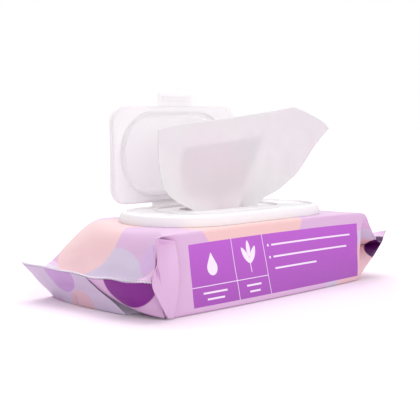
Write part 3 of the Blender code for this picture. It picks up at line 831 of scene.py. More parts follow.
# ---------------------------------------------------------------- film wrapper
@dataclass
class CrimpedEnd:
    """One end of the wrapper; each triple is its value at the near side, the middle and the far side."""

    side: int
    shoulder: Point
    heel: Point
    cut: Point
    cut_height: Point
    fin_tilt: Point
    top_swell: Point
    localness: float
    fin_width: float = 11.0
    waves: tuple[Pair, Pair] = ((0.5, 5.1), (0.35, 11.0))

    def at(self, triple: Point, y: float) -> float:
        """Return the value of a triple at y, from -1 at the near side to 1 at the far side."""
        edge = triple[2] if y > 0 else triple[0]
        return triple[1] + (edge - triple[1]) * abs(y) ** self.localness

    def cut_edge(self, y: float) -> Vector:
        """Return x and z of the cut edge, slightly wavy as a hot jaw leaves it.

        Args:
            y: Place across the end, from -1 at the near side to 1 at the far side.

        Returns:
            x and z in millimetres.
        """
        (long_wave, long_turn), (short_wave, short_turn) = self.waves
        wave = long_wave * math.sin(long_turn * y + self.side) + short_wave * math.sin(short_turn * y)
        fade = 1 - abs(y) ** 4
        return Vector((self.side * self.at(self.cut, y), self.at(self.cut_height, y) + wave * fade))

    def root(self, y: float) -> Vector:
        """Return x and z of the line where the two panels meet.

        Args:
            y: Place across the end, from -1 at the near side to 1 at the far side.

        Returns:
            x and z in millimetres.
        """
        tilt = math.radians(self.at(self.fin_tilt, y))
        edge = self.cut_edge(y)
        return edge - Vector((self.side * math.cos(tilt), math.sin(tilt))) * self.fin_width

    def fin(self, y: float, reach: float, offset: float) -> Vector:
        """Return x and z on the fin.

        Args:
            y: Place across the end, from -1 at the near side to 1 at the far side.
            reach: Share of the way from the fin's root to its cut edge.
            offset: Distance along the fin's upward normal.

        Returns:
            x and z in millimetres.
        """
        root = self.root(y)
        along = (self.cut_edge(y) - root).normalized()
        upward = Vector((-along.y, along.x)) * self.side
        return root + along * self.fin_width * reach + upward * offset

    def panel(self, panel: Panel, y: float, closing: float, height: float, half_fin: float) -> Vector:
        """Return x and z on a panel beyond its shoulder or heel.

        Args:
            panel: Panel to follow.
            y: Place across the end, from -1 at the near side to 1 at the far side.
            closing: Share of the way from the body's end to the fin's root.
            height: Height of the top panel.
            half_fin: Half the fin's thickness.

        Returns:
            x and z in millimetres.
        """
        root = self.root(y)
        if panel is Panel.TOP:
            start = self.side * self.at(self.shoulder, y)
            low = root.y + half_fin
            fall = 0.5 + 0.5 * math.cos(math.pi * closing ** self.at(self.top_swell, y))
            return Vector((start + (root.x - start) * closing, low + (height - low) * fall))
        start = self.side * self.at(self.heel, y)
        return Vector((start + (root.x - start) * closing, (root.y - half_fin) * closing))


@dataclass
class FilmWrapper:
    """The printed film: a flow wrap with tucked ends, crimped fins, a lapped back seam and a hole.

    A cross-section is named by two shares. Its closing runs from 0 at the body's end to 1 at the
    fin's root, and its along runs from 0 at the left end of the body to 1 at the right end.
    """

    width: float = 110.0
    height: float = 48.2
    fin_thickness: float = 0.9
    film: float = 0.35
    top_lean: float = 9.0
    bottom_bulge: float = 3.0
    wall_belly: float = 4.0
    top_radius: float = 9.0
    bottom_radius: float = 4.0
    tuck_share: float = 0.52
    tuck_inward: float = 4.0
    tuck_radius: float = 10.0
    fold_rate: float = 1.5
    crease: float = 0.5
    crease_reach: Pair = (-99.0, -82.0)
    arc_points: int = 4
    corner_dent: float = 13.0
    dent_start: Pair = (-84.0, -95.0)
    dent_finish: Pair = (-104.0, -96.0)
    dent_rim: float = 0.14
    dent_fade: float = 0.8
    pocket_depth: float = 9.0
    pocket_mouth: Pair = (4.0, -3.0)
    pocket_near: Pair = (-55.0, -49.0)
    hole: Point = (12.0, 6.0, 46.4)
    hole_size: Pair = (72.0, 32.0)
    hole_depth: float = 6.0
    hole_rim: float = 0.2
    soft_dent: Point = (34.0, 30.0, 18.0)
    soft_height: float = 0.55
    sharp_dent: Point = (16.0, 22.0, 13.0)
    sharp_shift: Point = (7.0, 0.0, 3.0)
    sharp_height: float = 0.5
    end_reach: Pair = (66.0, 100.0)
    base_reach: Pair = (80.0, 100.0)
    flat_top: float = 1.2
    still_below: float = 2.5
    still_fade: Pair = (2.0, 6.0)
    pinking: float = 2.2
    pinking_depth: float = 0.06
    pinking_from: float = 0.93
    pinked_reaches: tuple[float, ...] = (0.9, 0.92, 0.95, 0.98, 1.0)
    crimp_height: float = 0.08
    crimp_lift: float = 0.05
    seal_white: str = "#DAD0DE"
    seam_root: float = 16.0
    seam_foot: float = -29.0
    seam_slant: float = 17.0
    seam_fin_slant: float = 9.0
    seam_rise: float = 1.93
    seam_lift: Pair = (0.25, 0.9)
    seam_lowest: float = 0.3
    flap_start: float = -3.0
    flap_width: float = 51.0
    flap_rise: Pair = (1.9, 0.5)
    flap_lift: float = 0.35
    flap_foot: Pair = (-106.2, 9.2)
    flap_height: Pair = (0.7, 12.0)
    flap_belly: float = 1.6
    gusset_ridge: tuple[Point, ...] = (
        (-103.6, -54.2, 47.6), (-106.6, -55.8, 34.0), (-109.0, -56.2, 22.0), (-104.0, -56.4, 12.0),
        (-96.6, -56.2, 0.7),
    )
    gusset_wall: tuple[Point, ...] = (
        (-86.5, -51.6, 44.6), (-87.5, -55.4, 34.0), (-88.5, -57.2, 22.4), (-90.0, -57.6, 12.0),
        (-93.0, -57.2, 0.7),
    )
    gusset_dent: float = 4.5
    gusset_skew: float = 0.75
    gusset_rim: float = 0.1
    gusset_fade: float = 0.9
    film_angle: float = 50.0
    closings: tuple[float, ...] = (
        0.02, 0.05, 0.09, 0.14, 0.2, 0.27, 0.35, 0.43, 0.52, 0.61, 0.7, 0.78, 0.85, 0.91, 0.96,
    )
    stops: tuple[float, ...] = (
        0.0, 0.015, 0.03, 0.045, 0.065, 0.09, 0.12, 0.16, 0.21, 0.27, 0.34, 0.42, 0.5, 0.58, 0.66, 0.74,
        0.81, 0.87, 0.92, 0.96, 0.985, 1.0,
    )
    fin_reaches: tuple[float, ...] = (0.05, 0.2, 0.4, 0.6, 0.8, 0.93)
    panel_shares: tuple[float, ...] = (0.965, 0.93, 0.88, 0.83, 0.75, 0.66, 0.56, 0.46, 0.35, 0.24, 0.12)
    wall_shares: tuple[float, ...] = (0.12, 0.25, 0.40, 0.48, 0.56)
    tuck_shares: tuple[float, ...] = (0.04, 0.10, 0.28, 0.52, 0.78)
    fin_blend: float = 1.0
    fin_rim: float = 0.985
    fin_rim_layer: float = 0.3
    left: CrimpedEnd = field(default_factory=lambda: CrimpedEnd(
        side=-1, shoulder=(104.5, 74.0, 46.0), heel=(96.5, 104.5, 94.0), cut=(109.1, 113.5, 117.8),
        cut_height=(22.9, 22.6, 24.5), fin_tilt=(-62.0, 60.0, 45.0), top_swell=(1.0, 1.1, 1.2),
        localness=3.0,
    ))
    right: CrimpedEnd = field(default_factory=lambda: CrimpedEnd(
        side=1, shoulder=(97.5, 92.0, 90.0), heel=(94.0, 93.0, 92.0), cut=(128.0, 122.5, 120.0),
        cut_height=(33.0, 26.0, 25.0), fin_tilt=(54.0, 20.0, 2.0), top_swell=(1.0, 1.0, 1.0),
        localness=2.0,
    ))

    def middle_share(self, along: float) -> float:
        """Return how full the cross-section is: 0 at the ends of the body and 1 midway."""
        return math.sin(math.pi * along) ** 0.6 if 0 < along < 1 else 0.0

    def half_width(self, panel: Panel, along: float) -> float:
        """Return half the width of a panel at a cross-section."""
        drawn_in = -self.bottom_bulge if panel is Panel.BOTTOM else self.top_lean
        return self.width / 2 - drawn_in * self.middle_share(along)

    def on_panel(self, panel: Panel, y: float, closing: float, along: float) -> Vector:
        """Return a point of the top or bottom panel.

        Args:
            panel: Panel to follow.
            y: Place across the wrapper, in millimetres.
            closing: Share of the way from the body's end to the fin's root.
            along: Share of the way from the left end of the body to the right end.

        Returns:
            The place in millimetres.
        """
        ratio = max(-1.0, min(1.0, y / self.half_width(panel, along)))
        half_fin = self.fin_thickness / 2
        if along <= 0 or along >= 1:
            end = self.left if along <= 0 else self.right
            place = end.panel(panel, ratio, closing, self.height, half_fin)
        else:
            left = self.left.panel(panel, ratio, 0.0, self.height, half_fin)
            right = self.right.panel(panel, ratio, 0.0, self.height, half_fin)
            place = left.lerp(right, along)
        return Vector((place.x, y, place.y))

    def seam_edge(self, closing: float) -> float:
        """Return y of the back seam's free edge on the left end's lower slope."""
        return self.seam_foot + self.seam_slant * closing

    def pocket(self, y: float, closing: float, along: float) -> float:
        """Return how far the left end's lower slope lies back behind its near flap.

        Args:
            y: Place across the wrapper, in millimetres.
            closing: Share of the way from the body's end to the fin's root.
            along: Share of the way from the left end of the body to the right end.

        Returns:
            Distance along X in millimetres.
        """
        if along > 0:
            return 0.0
        behind_seam = blend_share(*self.pocket_mouth, y - self.seam_edge(closing))
        return self.pocket_depth * behind_seam * blend_share(*self.pocket_near, y) * (1 - closing) ** 0.5

    def between(self, y: float, closing: float, along: float) -> Vector:
        """Return the point between the two panels at y, where a tuck has its fold.

        Args:
            y: Place across the wrapper, in millimetres.
            closing: Share of the way from the body's end to the fin's root.
            along: Share of the way from the left end of the body to the right end.

        Returns:
            The place in millimetres.
        """
        low = self.on_panel(Panel.BOTTOM, y, closing, along)
        middle = low.lerp(self.on_panel(Panel.TOP, y, closing, along), self.tuck_share)
        middle.x -= math.copysign(self.tuck_inward * math.sin(math.pi * closing), middle.x)
        return middle

    def side_wall(self, side: int, closing: float, along: float) -> list[Vector]:
        """Return one side wall from its top edge down, its tuck folded in at the ends.

        Args:
            side: -1 for the near wall and 1 for the far wall.
            closing: Share of the way from the body's end to the fin's root.
            along: Share of the way from the left end of the body to the right end.

        Returns:
            Places in millimetres, from the top edge to the bottom edge.
        """
        half_top = self.half_width(Panel.TOP, along)
        half_low = self.half_width(Panel.BOTTOM, along)
        top = self.on_panel(Panel.TOP, side * half_top, closing, along)
        low = self.on_panel(Panel.BOTTOM, side * half_low, closing, along)
        wall = self.height / 2
        half_gap = min((top - low).length / 2, wall)
        depth = math.sqrt(wall ** 2 - half_gap ** 2) if closing > 0 else 0.0
        tuck_y = side * ((half_top + half_low) / 2 + self.wall_belly * self.middle_share(along) - depth)
        folded = min(1.0, closing * self.fold_rate)
        shares = [flat + (tuck - flat) * folded for flat, tuck in zip(self.wall_shares, self.tuck_shares)]

        def on_wall(panel: Panel, edge_y: float, share: float) -> Vector:
            """Return the point at a share of the way from a panel's edge to the tuck's fold."""
            y = edge_y + (tuck_y - edge_y) * share
            return self.on_panel(panel, y, closing, along).lerp(self.between(y, closing, along), share)

        upper = [on_wall(Panel.TOP, side * half_top, share) for share in (0.0, *shares)]
        lower = [on_wall(Panel.BOTTOM, side * half_low, share) for share in (*reversed(shares), 0.0)]
        points = [*upper, self.between(tuck_y, closing, along), *lower]
        if side < 0:
            for point in points[1:-1]:
                point.y = max(point.y, self.dented(point, top, low))
        return points

    def dented(self, point: Vector, top: Vector, low: Vector) -> float:
        """Return y of the near wall where it is pressed in under the left end's sharp upper corner.

        Args:
            point: Place on the wall.
            top: The wall's top edge.
            low: The wall's bottom edge.

        Returns:
            y in millimetres.
        """
        down = max(0.0, min(1.0, (top.z - point.z) / (top.z - low.z)))
        reached = blend_share(*self.dent_start, point.x) * blend_share(*self.dent_finish, point.x)
        flat = top.y + (low.y - top.y) * down
        fade = blend_share(0.0, self.dent_rim, down) * (1 - down) ** self.dent_fade
        return flat + self.corner_dent * reached * fade

    def section(self, closing: float, along: float) -> list[Vector]:
        """Return one closed cross-section, from the near top edge over the top and round.

        Args:
            closing: Share of the way from the body's end to the fin's root.
            along: Share of the way from the left end of the body to the right end.

        Returns:
            Places in millimetres.
        """
        near = self.side_wall(-1, closing, along)
        far = self.side_wall(1, closing, along)
        rows = {}
        for panel, half in ((Panel.TOP, far[0].y), (Panel.BOTTOM, far[-1].y)):
            stops = [-half * share for share in self.panel_shares] + [0.0]
            stops += [half * share for share in reversed(self.panel_shares)]
            rows[panel] = [self.on_panel(panel, y, closing, along) for y in stops]
        for point in rows[Panel.BOTTOM]:
            point.x += self.pocket(point.y, closing, along)
        outline = [near[0], *rows[Panel.TOP], *far, *reversed(rows[Panel.BOTTOM]), *near[:0:-1]]
        far_top = 1 + len(rows[Panel.TOP])
        far_low = far_top + len(far) - 1
        near_low = far_low + len(rows[Panel.BOTTOM]) + 1
        to_tuck = len(far) // 2
        roundness = blend_share(*self.crease_reach, near[0].x)
        radii = {
            0: self.crease + (self.top_radius - self.crease) * roundness,
            far_top: self.top_radius, far_top + to_tuck: self.tuck_radius, far_low: self.bottom_radius,
            near_low: self.bottom_radius, near_low + to_tuck: self.tuck_radius,
        }
        openness = max(0.0, 1 - closing) ** 2
        loop = []
        for index, point in enumerate(outline):
            if index not in radii:
                loop.append(point)
                continue
            radius = self.crease + (radii[index] - self.crease) * openness
            loop += self.rounded(point, outline[index - 1], outline[(index + 1) % len(outline)], radius)
        return loop

    def rounded(self, corner: Vector, before: Vector, after: Vector, radius: float) -> list[Vector]:
        """Return the points of an arc that rounds a corner between its two neighbours.

        Args:
            corner: Place of the corner.
            before: Place before it.
            after: Place after it.
            radius: Distance from the corner to each end of the arc.

        Returns:
            Places in millimetres.
        """
        start = corner + (before - corner).normalized() * min(radius, (before - corner).length * 0.8)
        finish = corner + (after - corner).normalized() * min(radius, (after - corner).length * 0.8)
        points = []
        for step in range(self.arc_points):
            share = step / (self.arc_points - 1)
            points.append(start * (1 - share) ** 2 + corner * 2 * share * (1 - share) + finish * share ** 2)
        return points

    def fin_loop(self, end: CrimpedEnd, last: Sequence[Vector], reach: float) -> list[Vector]:
        """Return the outline over the fin at a reach, each point at the y of the last cross-section.

        Args:
            end: End of the wrapper.
            last: Last cross-section before the fin.
            reach: Share of the way from the fin's root to its cut edge.

        Returns:
            Places in millimetres.
        """
        half = self.width / 2
        loop = []
        for point in last:
            ratio = max(-1.0, min(1.0, point.y / half))
            above = point.z - end.root(ratio).y
            layer = max(-1.0, min(1.0, above / self.fin_blend))
            if abs(ratio) >= self.fin_rim:
                layer = math.copysign(self.fin_rim_layer, above)
            place = end.fin(ratio, reach, layer * self.fin_thickness / 2)
            loop.append(Vector((place.x, point.y, place.y)))
        return loop

    def build_body(self) -> bpy.types.Object:
        """Build the body of the wrapper as one skin from fin to fin and cut its hole.

        Returns:
            The new object.
        """
        rings = [self.section(closing, 0.0) for closing in reversed(self.closings)]
        rings += [self.section(0.0, stop) for stop in self.stops]
        rings += [self.section(closing, 1.0) for closing in self.closings]
        first, last = rings[0], rings[-1]
        left = [self.fin_loop(self.left, first, reach) for reach in reversed(self.fin_reaches)]
        right = [self.fin_loop(self.right, last, reach) for reach in self.fin_reaches]
        item = grid_object("wrapper_film", [*left, *rings, *right], True)
        make_active(item)
        bpy.ops.object.mode_set(mode="EDIT")
        bpy.ops.mesh.select_all(action="SELECT")
        bpy.ops.mesh.normals_make_consistent(inside=False)
        bpy.ops.object.mode_set(mode="OBJECT")
        subdivide_smoothly(item, 1)
        self.crinkle(item)
        self.cut_hole(item)
        make_active(item)
        modifier = item.modifiers.new("film_thickness", "SOLIDIFY")
        modifier.thickness = mm(self.film)
        modifier.offset = -1.0
        bpy.ops.object.modifier_apply(modifier=modifier.name)
        bpy.ops.object.shade_smooth_by_angle(angle=math.radians(self.film_angle))
        return item

    def crinkle(self, item: bpy.types.Object) -> None:
        """Move the film in and out a little: long soft dents on the body and sharper ones at the ends.

        Args:
            item: The wrapper's skin.
        """
        mesh = item.data
        normals = [vertex.normal.copy() for vertex in mesh.vertices]
        for vertex, normal in zip(mesh.vertices, normals):
            place = vertex.co * MM_PER_METRE
            vertex.co = (place + normal * self.crinkle_at(place)) * METRES_PER_MM

    def crinkle_at(self, place: Vector) -> float:
        """Return how far the film stands out at a place, with none where it rests or the base sits.

        Args:
            place: Place on the film, in millimetres.

        Returns:
            Distance along the film's normal, in millimetres.
        """
        if place.z <= self.still_below:
            return 0.0
        end = blend_share(*self.end_reach, abs(place.x))
        clear = 1.0
        if place.z > self.height - self.flat_top:
            clear = blend_share(*self.base_reach, abs(place.x - self.hole[0]))
        soft = noise.noise(Vector([value / size for value, size in zip(place, self.soft_dent)]))
        shifts = zip(place, self.sharp_dent, self.sharp_shift)
        turned = [value / size + shift for value, size, shift in shifts]
        sharp = 1 - 2 * abs(noise.noise(Vector(turned)))
        amount = self.soft_height * soft * (0.5 + end) + self.sharp_height * sharp * end
        lowest, fade = self.still_fade
        return amount * max(0.0, min(1.0, (place.z - lowest) / fade)) * clear

    def cut_hole(self, item: bpy.types.Object) -> None:
        """Cut the die-cut hole in the top panel, and leave the skin open there.

        Args:
            item: The wrapper's skin.
        """
        tool = add_oval("hole_tool", *self.hole_size, self.hole, self.hole_depth, 72)
        cut_or_join(item, tool, "DIFFERENCE")
        make_active(item)
        bpy.ops.object.mode_set(mode="EDIT")
        floor = mm(self.hole[2])
        half_x = mm(self.hole_size[0] / 2)
        half_y = mm(self.hole_size[1] / 2)
        middle = mm_point(*self.hole)

        def left_by_tool(face: bmesh.types.BMFace) -> bool:
            """Return True for a face that the tool left inside the hole.

            Args:
                face: Face to test.

            Returns:
                True if the face has to go.
            """
            centre = face.calc_center_median()
            within_x = abs(centre.x - middle.x) <= half_x + LEVEL_SLACK
            within_y = abs(centre.y - middle.y) <= half_y + LEVEL_SLACK
            low = floor - LEVEL_SLACK < centre.z < mm(self.height) - mm(self.hole_rim)
            return within_x and within_y and low

        pick_faces(item, left_by_tool)
        bpy.ops.mesh.delete(type="FACE")
        bpy.ops.object.mode_set(mode="OBJECT")

    def build_fin(self, end: CrimpedEnd, name: str) -> bpy.types.Object:
        """Build the pinked edge of one crimped fin, where the sealed layers show white.

        Args:
            end: End of the wrapper.
            name: Name of the object.

        Returns:
            The new object.
        """
        columns = 220
        half = self.width / 2
        places = [-half + self.width * column / columns for column in range(columns + 1)]
        outward = self.pinked_reaches
        rows = [[self.pinked(end, y, reach, 1) for y in places] for reach in outward]
        rows += [[self.pinked(end, y, reach, -1) for y in places] for reach in reversed(outward)]
        rows.append(rows[0])
        item = grid_object(name, rows, False)
        make_active(item)
        bpy.ops.object.mode_set(mode="EDIT")
        bpy.ops.mesh.select_all(action="SELECT")
        bpy.ops.mesh.remove_doubles(threshold=mm(0.002))
        bpy.ops.mesh.select_all(action="DESELECT")
        bpy.ops.mesh.select_mode(type="EDGE")
        bpy.ops.mesh.select_non_manifold(extend=False, use_multi_face=False)
        bpy.ops.mesh.edge_face_add()
        bpy.ops.mesh.select_all(action="SELECT")
        bpy.ops.mesh.normals_make_consistent(inside=False)
        bpy.ops.object.mode_set(mode="OBJECT")
        bpy.ops.object.shade_smooth_by_angle(angle=math.radians(self.film_angle))
        return item

    def pinked(self, end: CrimpedEnd, y: float, reach: float, face: int) -> Vector:
        """Return a point of the pinked edge, whose faces ripple as the crimping jaw leaves them.

        Args:
            end: End of the wrapper.
            y: Place across the wrapper, in millimetres.
            reach: Share of the way from the fin's root to its cut edge.
            face: 1 for the upper face and -1 for the lower one.

        Returns:
            The place in millimetres.
        """
        phase = (y / self.pinking) % 1.0
        teeth = (abs(phase - 0.5) * 2 - 0.5) * self.pinking_depth if reach > self.pinking_from else 0.0
        ripple = self.crimp_height * math.sin(2 * math.pi * y / self.pinking)
        offset = face * (self.fin_thickness / 2 + self.crimp_lift) + ripple
        place = end.fin(y / (self.width / 2), reach + teeth, offset)
        return Vector((place.x, y, place.y))

    def lower_face(self, end: CrimpedEnd, y: float, rise: float, offset: float) -> Vector:
        """Return a point on an end's lower slope or on the underside of its fin.

        Args:
            end: End of the wrapper.
            y: Place across the wrapper, in millimetres.
            rise: 0 to 1 from the heel to the fin's root, and up to 2 at its cut edge.
            offset: Distance outwards along X.

        Returns:
            The place in millimetres.
        """
        ratio = max(-1.0, min(1.0, y / (self.width / 2)))
        if rise <= 1:
            place = self.on_panel(Panel.BOTTOM, y, rise, 0.0 if end.side < 0 else 1.0)
            return place + Vector((end.side * offset, 0.0, 0.0))
        place = end.fin(ratio, rise - 1, -self.fin_thickness / 2)
        return Vector((place.x + end.side * offset, y, place.y))

    def thicken(self, item: bpy.types.Object) -> bpy.types.Object:
        """Give a sheet of film its thickness.

        Args:
            item: Sheet to thicken.

        Returns:
            The same object.
        """
        subdivide_smoothly(item, 1)
        modifier = item.modifiers.new("film_thickness", "SOLIDIFY")
        modifier.thickness = mm(self.film)
        modifier.offset = 0.0
        bpy.ops.object.modifier_apply(modifier=modifier.name)
        item.data.shade_smooth()
        return item

    def build_seam(self, end: CrimpedEnd, name: str) -> bpy.types.Object:
        """Build the back seam's lap on one end: sealed to the far side, its near edge free.

        Args:
            end: End of the wrapper.
            name: Name of the object.

        Returns:
            The new object.
        """
        steps, columns = 28, 14
        rows = []
        for step in range(steps + 1):
            rise = self.seam_rise * step / steps
            edge = self.seam_edge(min(1.0, rise)) + self.seam_fin_slant * max(0.0, rise - 1)
            row = []
            for column in range(columns + 1):
                share = column / columns
                y = self.seam_root + (edge - self.seam_root) * share
                place = self.lower_face(end, y, rise, self.seam_lift[0] + self.seam_lift[1] * share ** 2)
                place.z = max(place.z, self.seam_lowest)
                row.append(place)
            rows.append(row)
        return self.thicken(grid_object(name, rows, False))

    def build_corner_flap(self, name: str) -> bpy.types.Object:
        """Build the near flap of the left end, which hangs from the fin down to the near lower corner.

        Args:
            name: Name of the object.

        Returns:
            The new object.
        """
        steps, columns = 18, 40
        rows = []
        for step in range(steps + 1):
            down = step / steps
            row = []
            for column in range(columns + 1):
                share = column / columns
                y = self.flap_start - self.flap_width * share
                rise = self.flap_rise[0] - self.flap_rise[1] * share ** 4
                high = self.lower_face(self.left, y, rise, self.flap_lift)
                foot_x = self.flap_foot[0] + self.flap_foot[1] * share ** 5
                foot_z = self.flap_height[0] + self.flap_height[1] * (1 - share)
                place = high.lerp(Vector((foot_x, y, foot_z)), down)
                place.x -= self.flap_belly * math.sin(math.pi * down) * math.sin(math.pi * share)
                row.append(place)
            rows.append(row)
        return self.thicken(grid_object(name, rows, False))

    def build_gusset(self, name: str) -> bpy.types.Object:
        """Build the folded film between the left end's sharp near ridge and the near wall.

        Args:
            name: Name of the object.

        Returns:
            The new object.
        """
        steps, columns = 32, 24
        rows = []
        for step in range(steps + 1):
            down = step / steps
            left = along_curve(self.gusset_ridge, down)
            right = along_curve(self.gusset_wall, down)
            fade = blend_share(0.0, self.gusset_rim, down) * (1 - down) ** self.gusset_fade
            row = []
            for column in range(columns + 1):
                share = column / columns
                place = left.lerp(right, share)
                place.y += self.gusset_dent * math.sin(math.pi * share ** self.gusset_skew) * fade
                row.append(place)
            rows.append(row)
        return self.thicken(grid_object(name, rows, False))

    def build(self, finish: LaminatedFilm, flap_finish: LaminatedFilm) -> None:
        """Build and dress the wrapper's pieces.

        Args:
            finish: Printed film of the body.
            flap_finish: Printed film of the corner flap.
        """
        material = finish.build()
        flap_material = flap_finish.build()
        sealed = LaminatedFilm(base=self.seal_white, labelled=False).build()
        finish_piece(self.build_body(), material, Body.PACK, Slot.FILM, "film_wrapper")
        finish_piece(self.build_gusset("left_gusset"), material, Body.PACK, Slot.FILM)
        finish_piece(self.build_corner_flap("left_corner_flap"), flap_material, Body.PACK, Slot.FILM)
        for end, side in ((self.left, "left"), (self.right, "right")):
            finish_piece(self.build_fin(end, f"{side}_pinked_edge"), sealed, Body.PACK, Slot.FILM)
            finish_piece(self.build_seam(end, f"{side}_back_seam"), material, Body.PACK, Slot.FILM)


# ---------------------------------------------------------------- dispenser
@dataclass
class DispenserBase:
    """The moulded base: a drafted oval wall, a round rim, a sunken deck and a collared opening."""

    centre: Point = (12.0, 1.0, 48.3)
    length: float = 164.0
    width: float = 83.0
    edge_height: float = 0.8
    skirt: float = 1.1
    skirt_wall: float = 1.0
    flange: float = 7.0
    draft: float = 0.4
    hollow: float = 2.6
    rim_steps: tuple[Pair, ...] = (
        (0.5, 1.5), (0.55, 1.3), (0.45, 0.9), (0.35, 0.5), (0.45, 0.3), (0.6, 0.2), (0.7, 0.05),
    )
    deck_steps: tuple[Pair, ...] = (
        (1.3, 0.0), (0.35, -0.1), (0.3, -0.4), (0.15, -0.9), (0.4, -0.2), (1.0, 0.0),
    )
    opening: Point = (12.0, 6.0, 53.6)
    opening_size: Pair = (66.0, 26.0)
    opening_cut: Pair = (47.0, 12.0)
    collar: float = 1.6
    collar_foot: float = 50.0
    collar_rise: float = 0.7
    seal_size: Pair = (100.8, 56.3)
    seal_wall: float = 1.2
    seal_foot: float = 0.6
    seal_height: float = 2.0
    hinge_land: Point = (44.0, 4.0, 3.4)
    hinge_land_place: Pair = (40.5, 51.0)
    hinge_land_corner: float = 0.5
    edge_radius: float = 0.3
    hair: float = 0.02

    def build(self, material: bpy.types.Material) -> None:
        """Build and dress the base.

        Args:
            material: Material of the base.
        """
        height = self.edge_height + self.skirt
        base = add_oval("dispenser_base", self.length, self.width, self.centre, height, 160)
        step_face(base, True, (*self.rim_steps, *self.deck_steps))
        inner = self.flange - self.skirt_wall
        step_face(base, False, (
            (self.skirt_wall, 0.0), (0.05, -self.skirt), (inner, 0.0), (self.draft, -self.hollow),
        ))
        x, y, deck = self.opening
        ring = add_oval("seal_ring", *self.seal_size, (x, y, deck - self.seal_foot), self.seal_height, 120)
        step_face(ring, True, ((self.seal_wall, 0.0), (self.hair, -self.seal_height)))
        cut_or_join(base, ring, "UNION")
        length, width = [side + 2 * self.collar for side in self.opening_size]
        rise = deck + self.collar_rise - self.collar_foot
        collar = add_oval("collar", length, width, (x, y, self.collar_foot), rise, 96)
        cut_or_join(base, collar, "UNION")
        land_y, land_z = self.hinge_land_place
        land = add_block("hinge_land", self.hinge_land, (x, land_y, land_z), self.hinge_land_corner, 3)
        cut_or_join(base, land, "UNION")
        low, reach = self.opening_cut
        hole = add_oval("opening_tool", *self.opening_size, (x, y, low), reach, 96)
        cut_or_join(base, hole, "DIFFERENCE")
        soften(base, self.edge_radius)
        finish_piece(base, material, Body.PACK, Slot.PLASTIC, "lid_base")


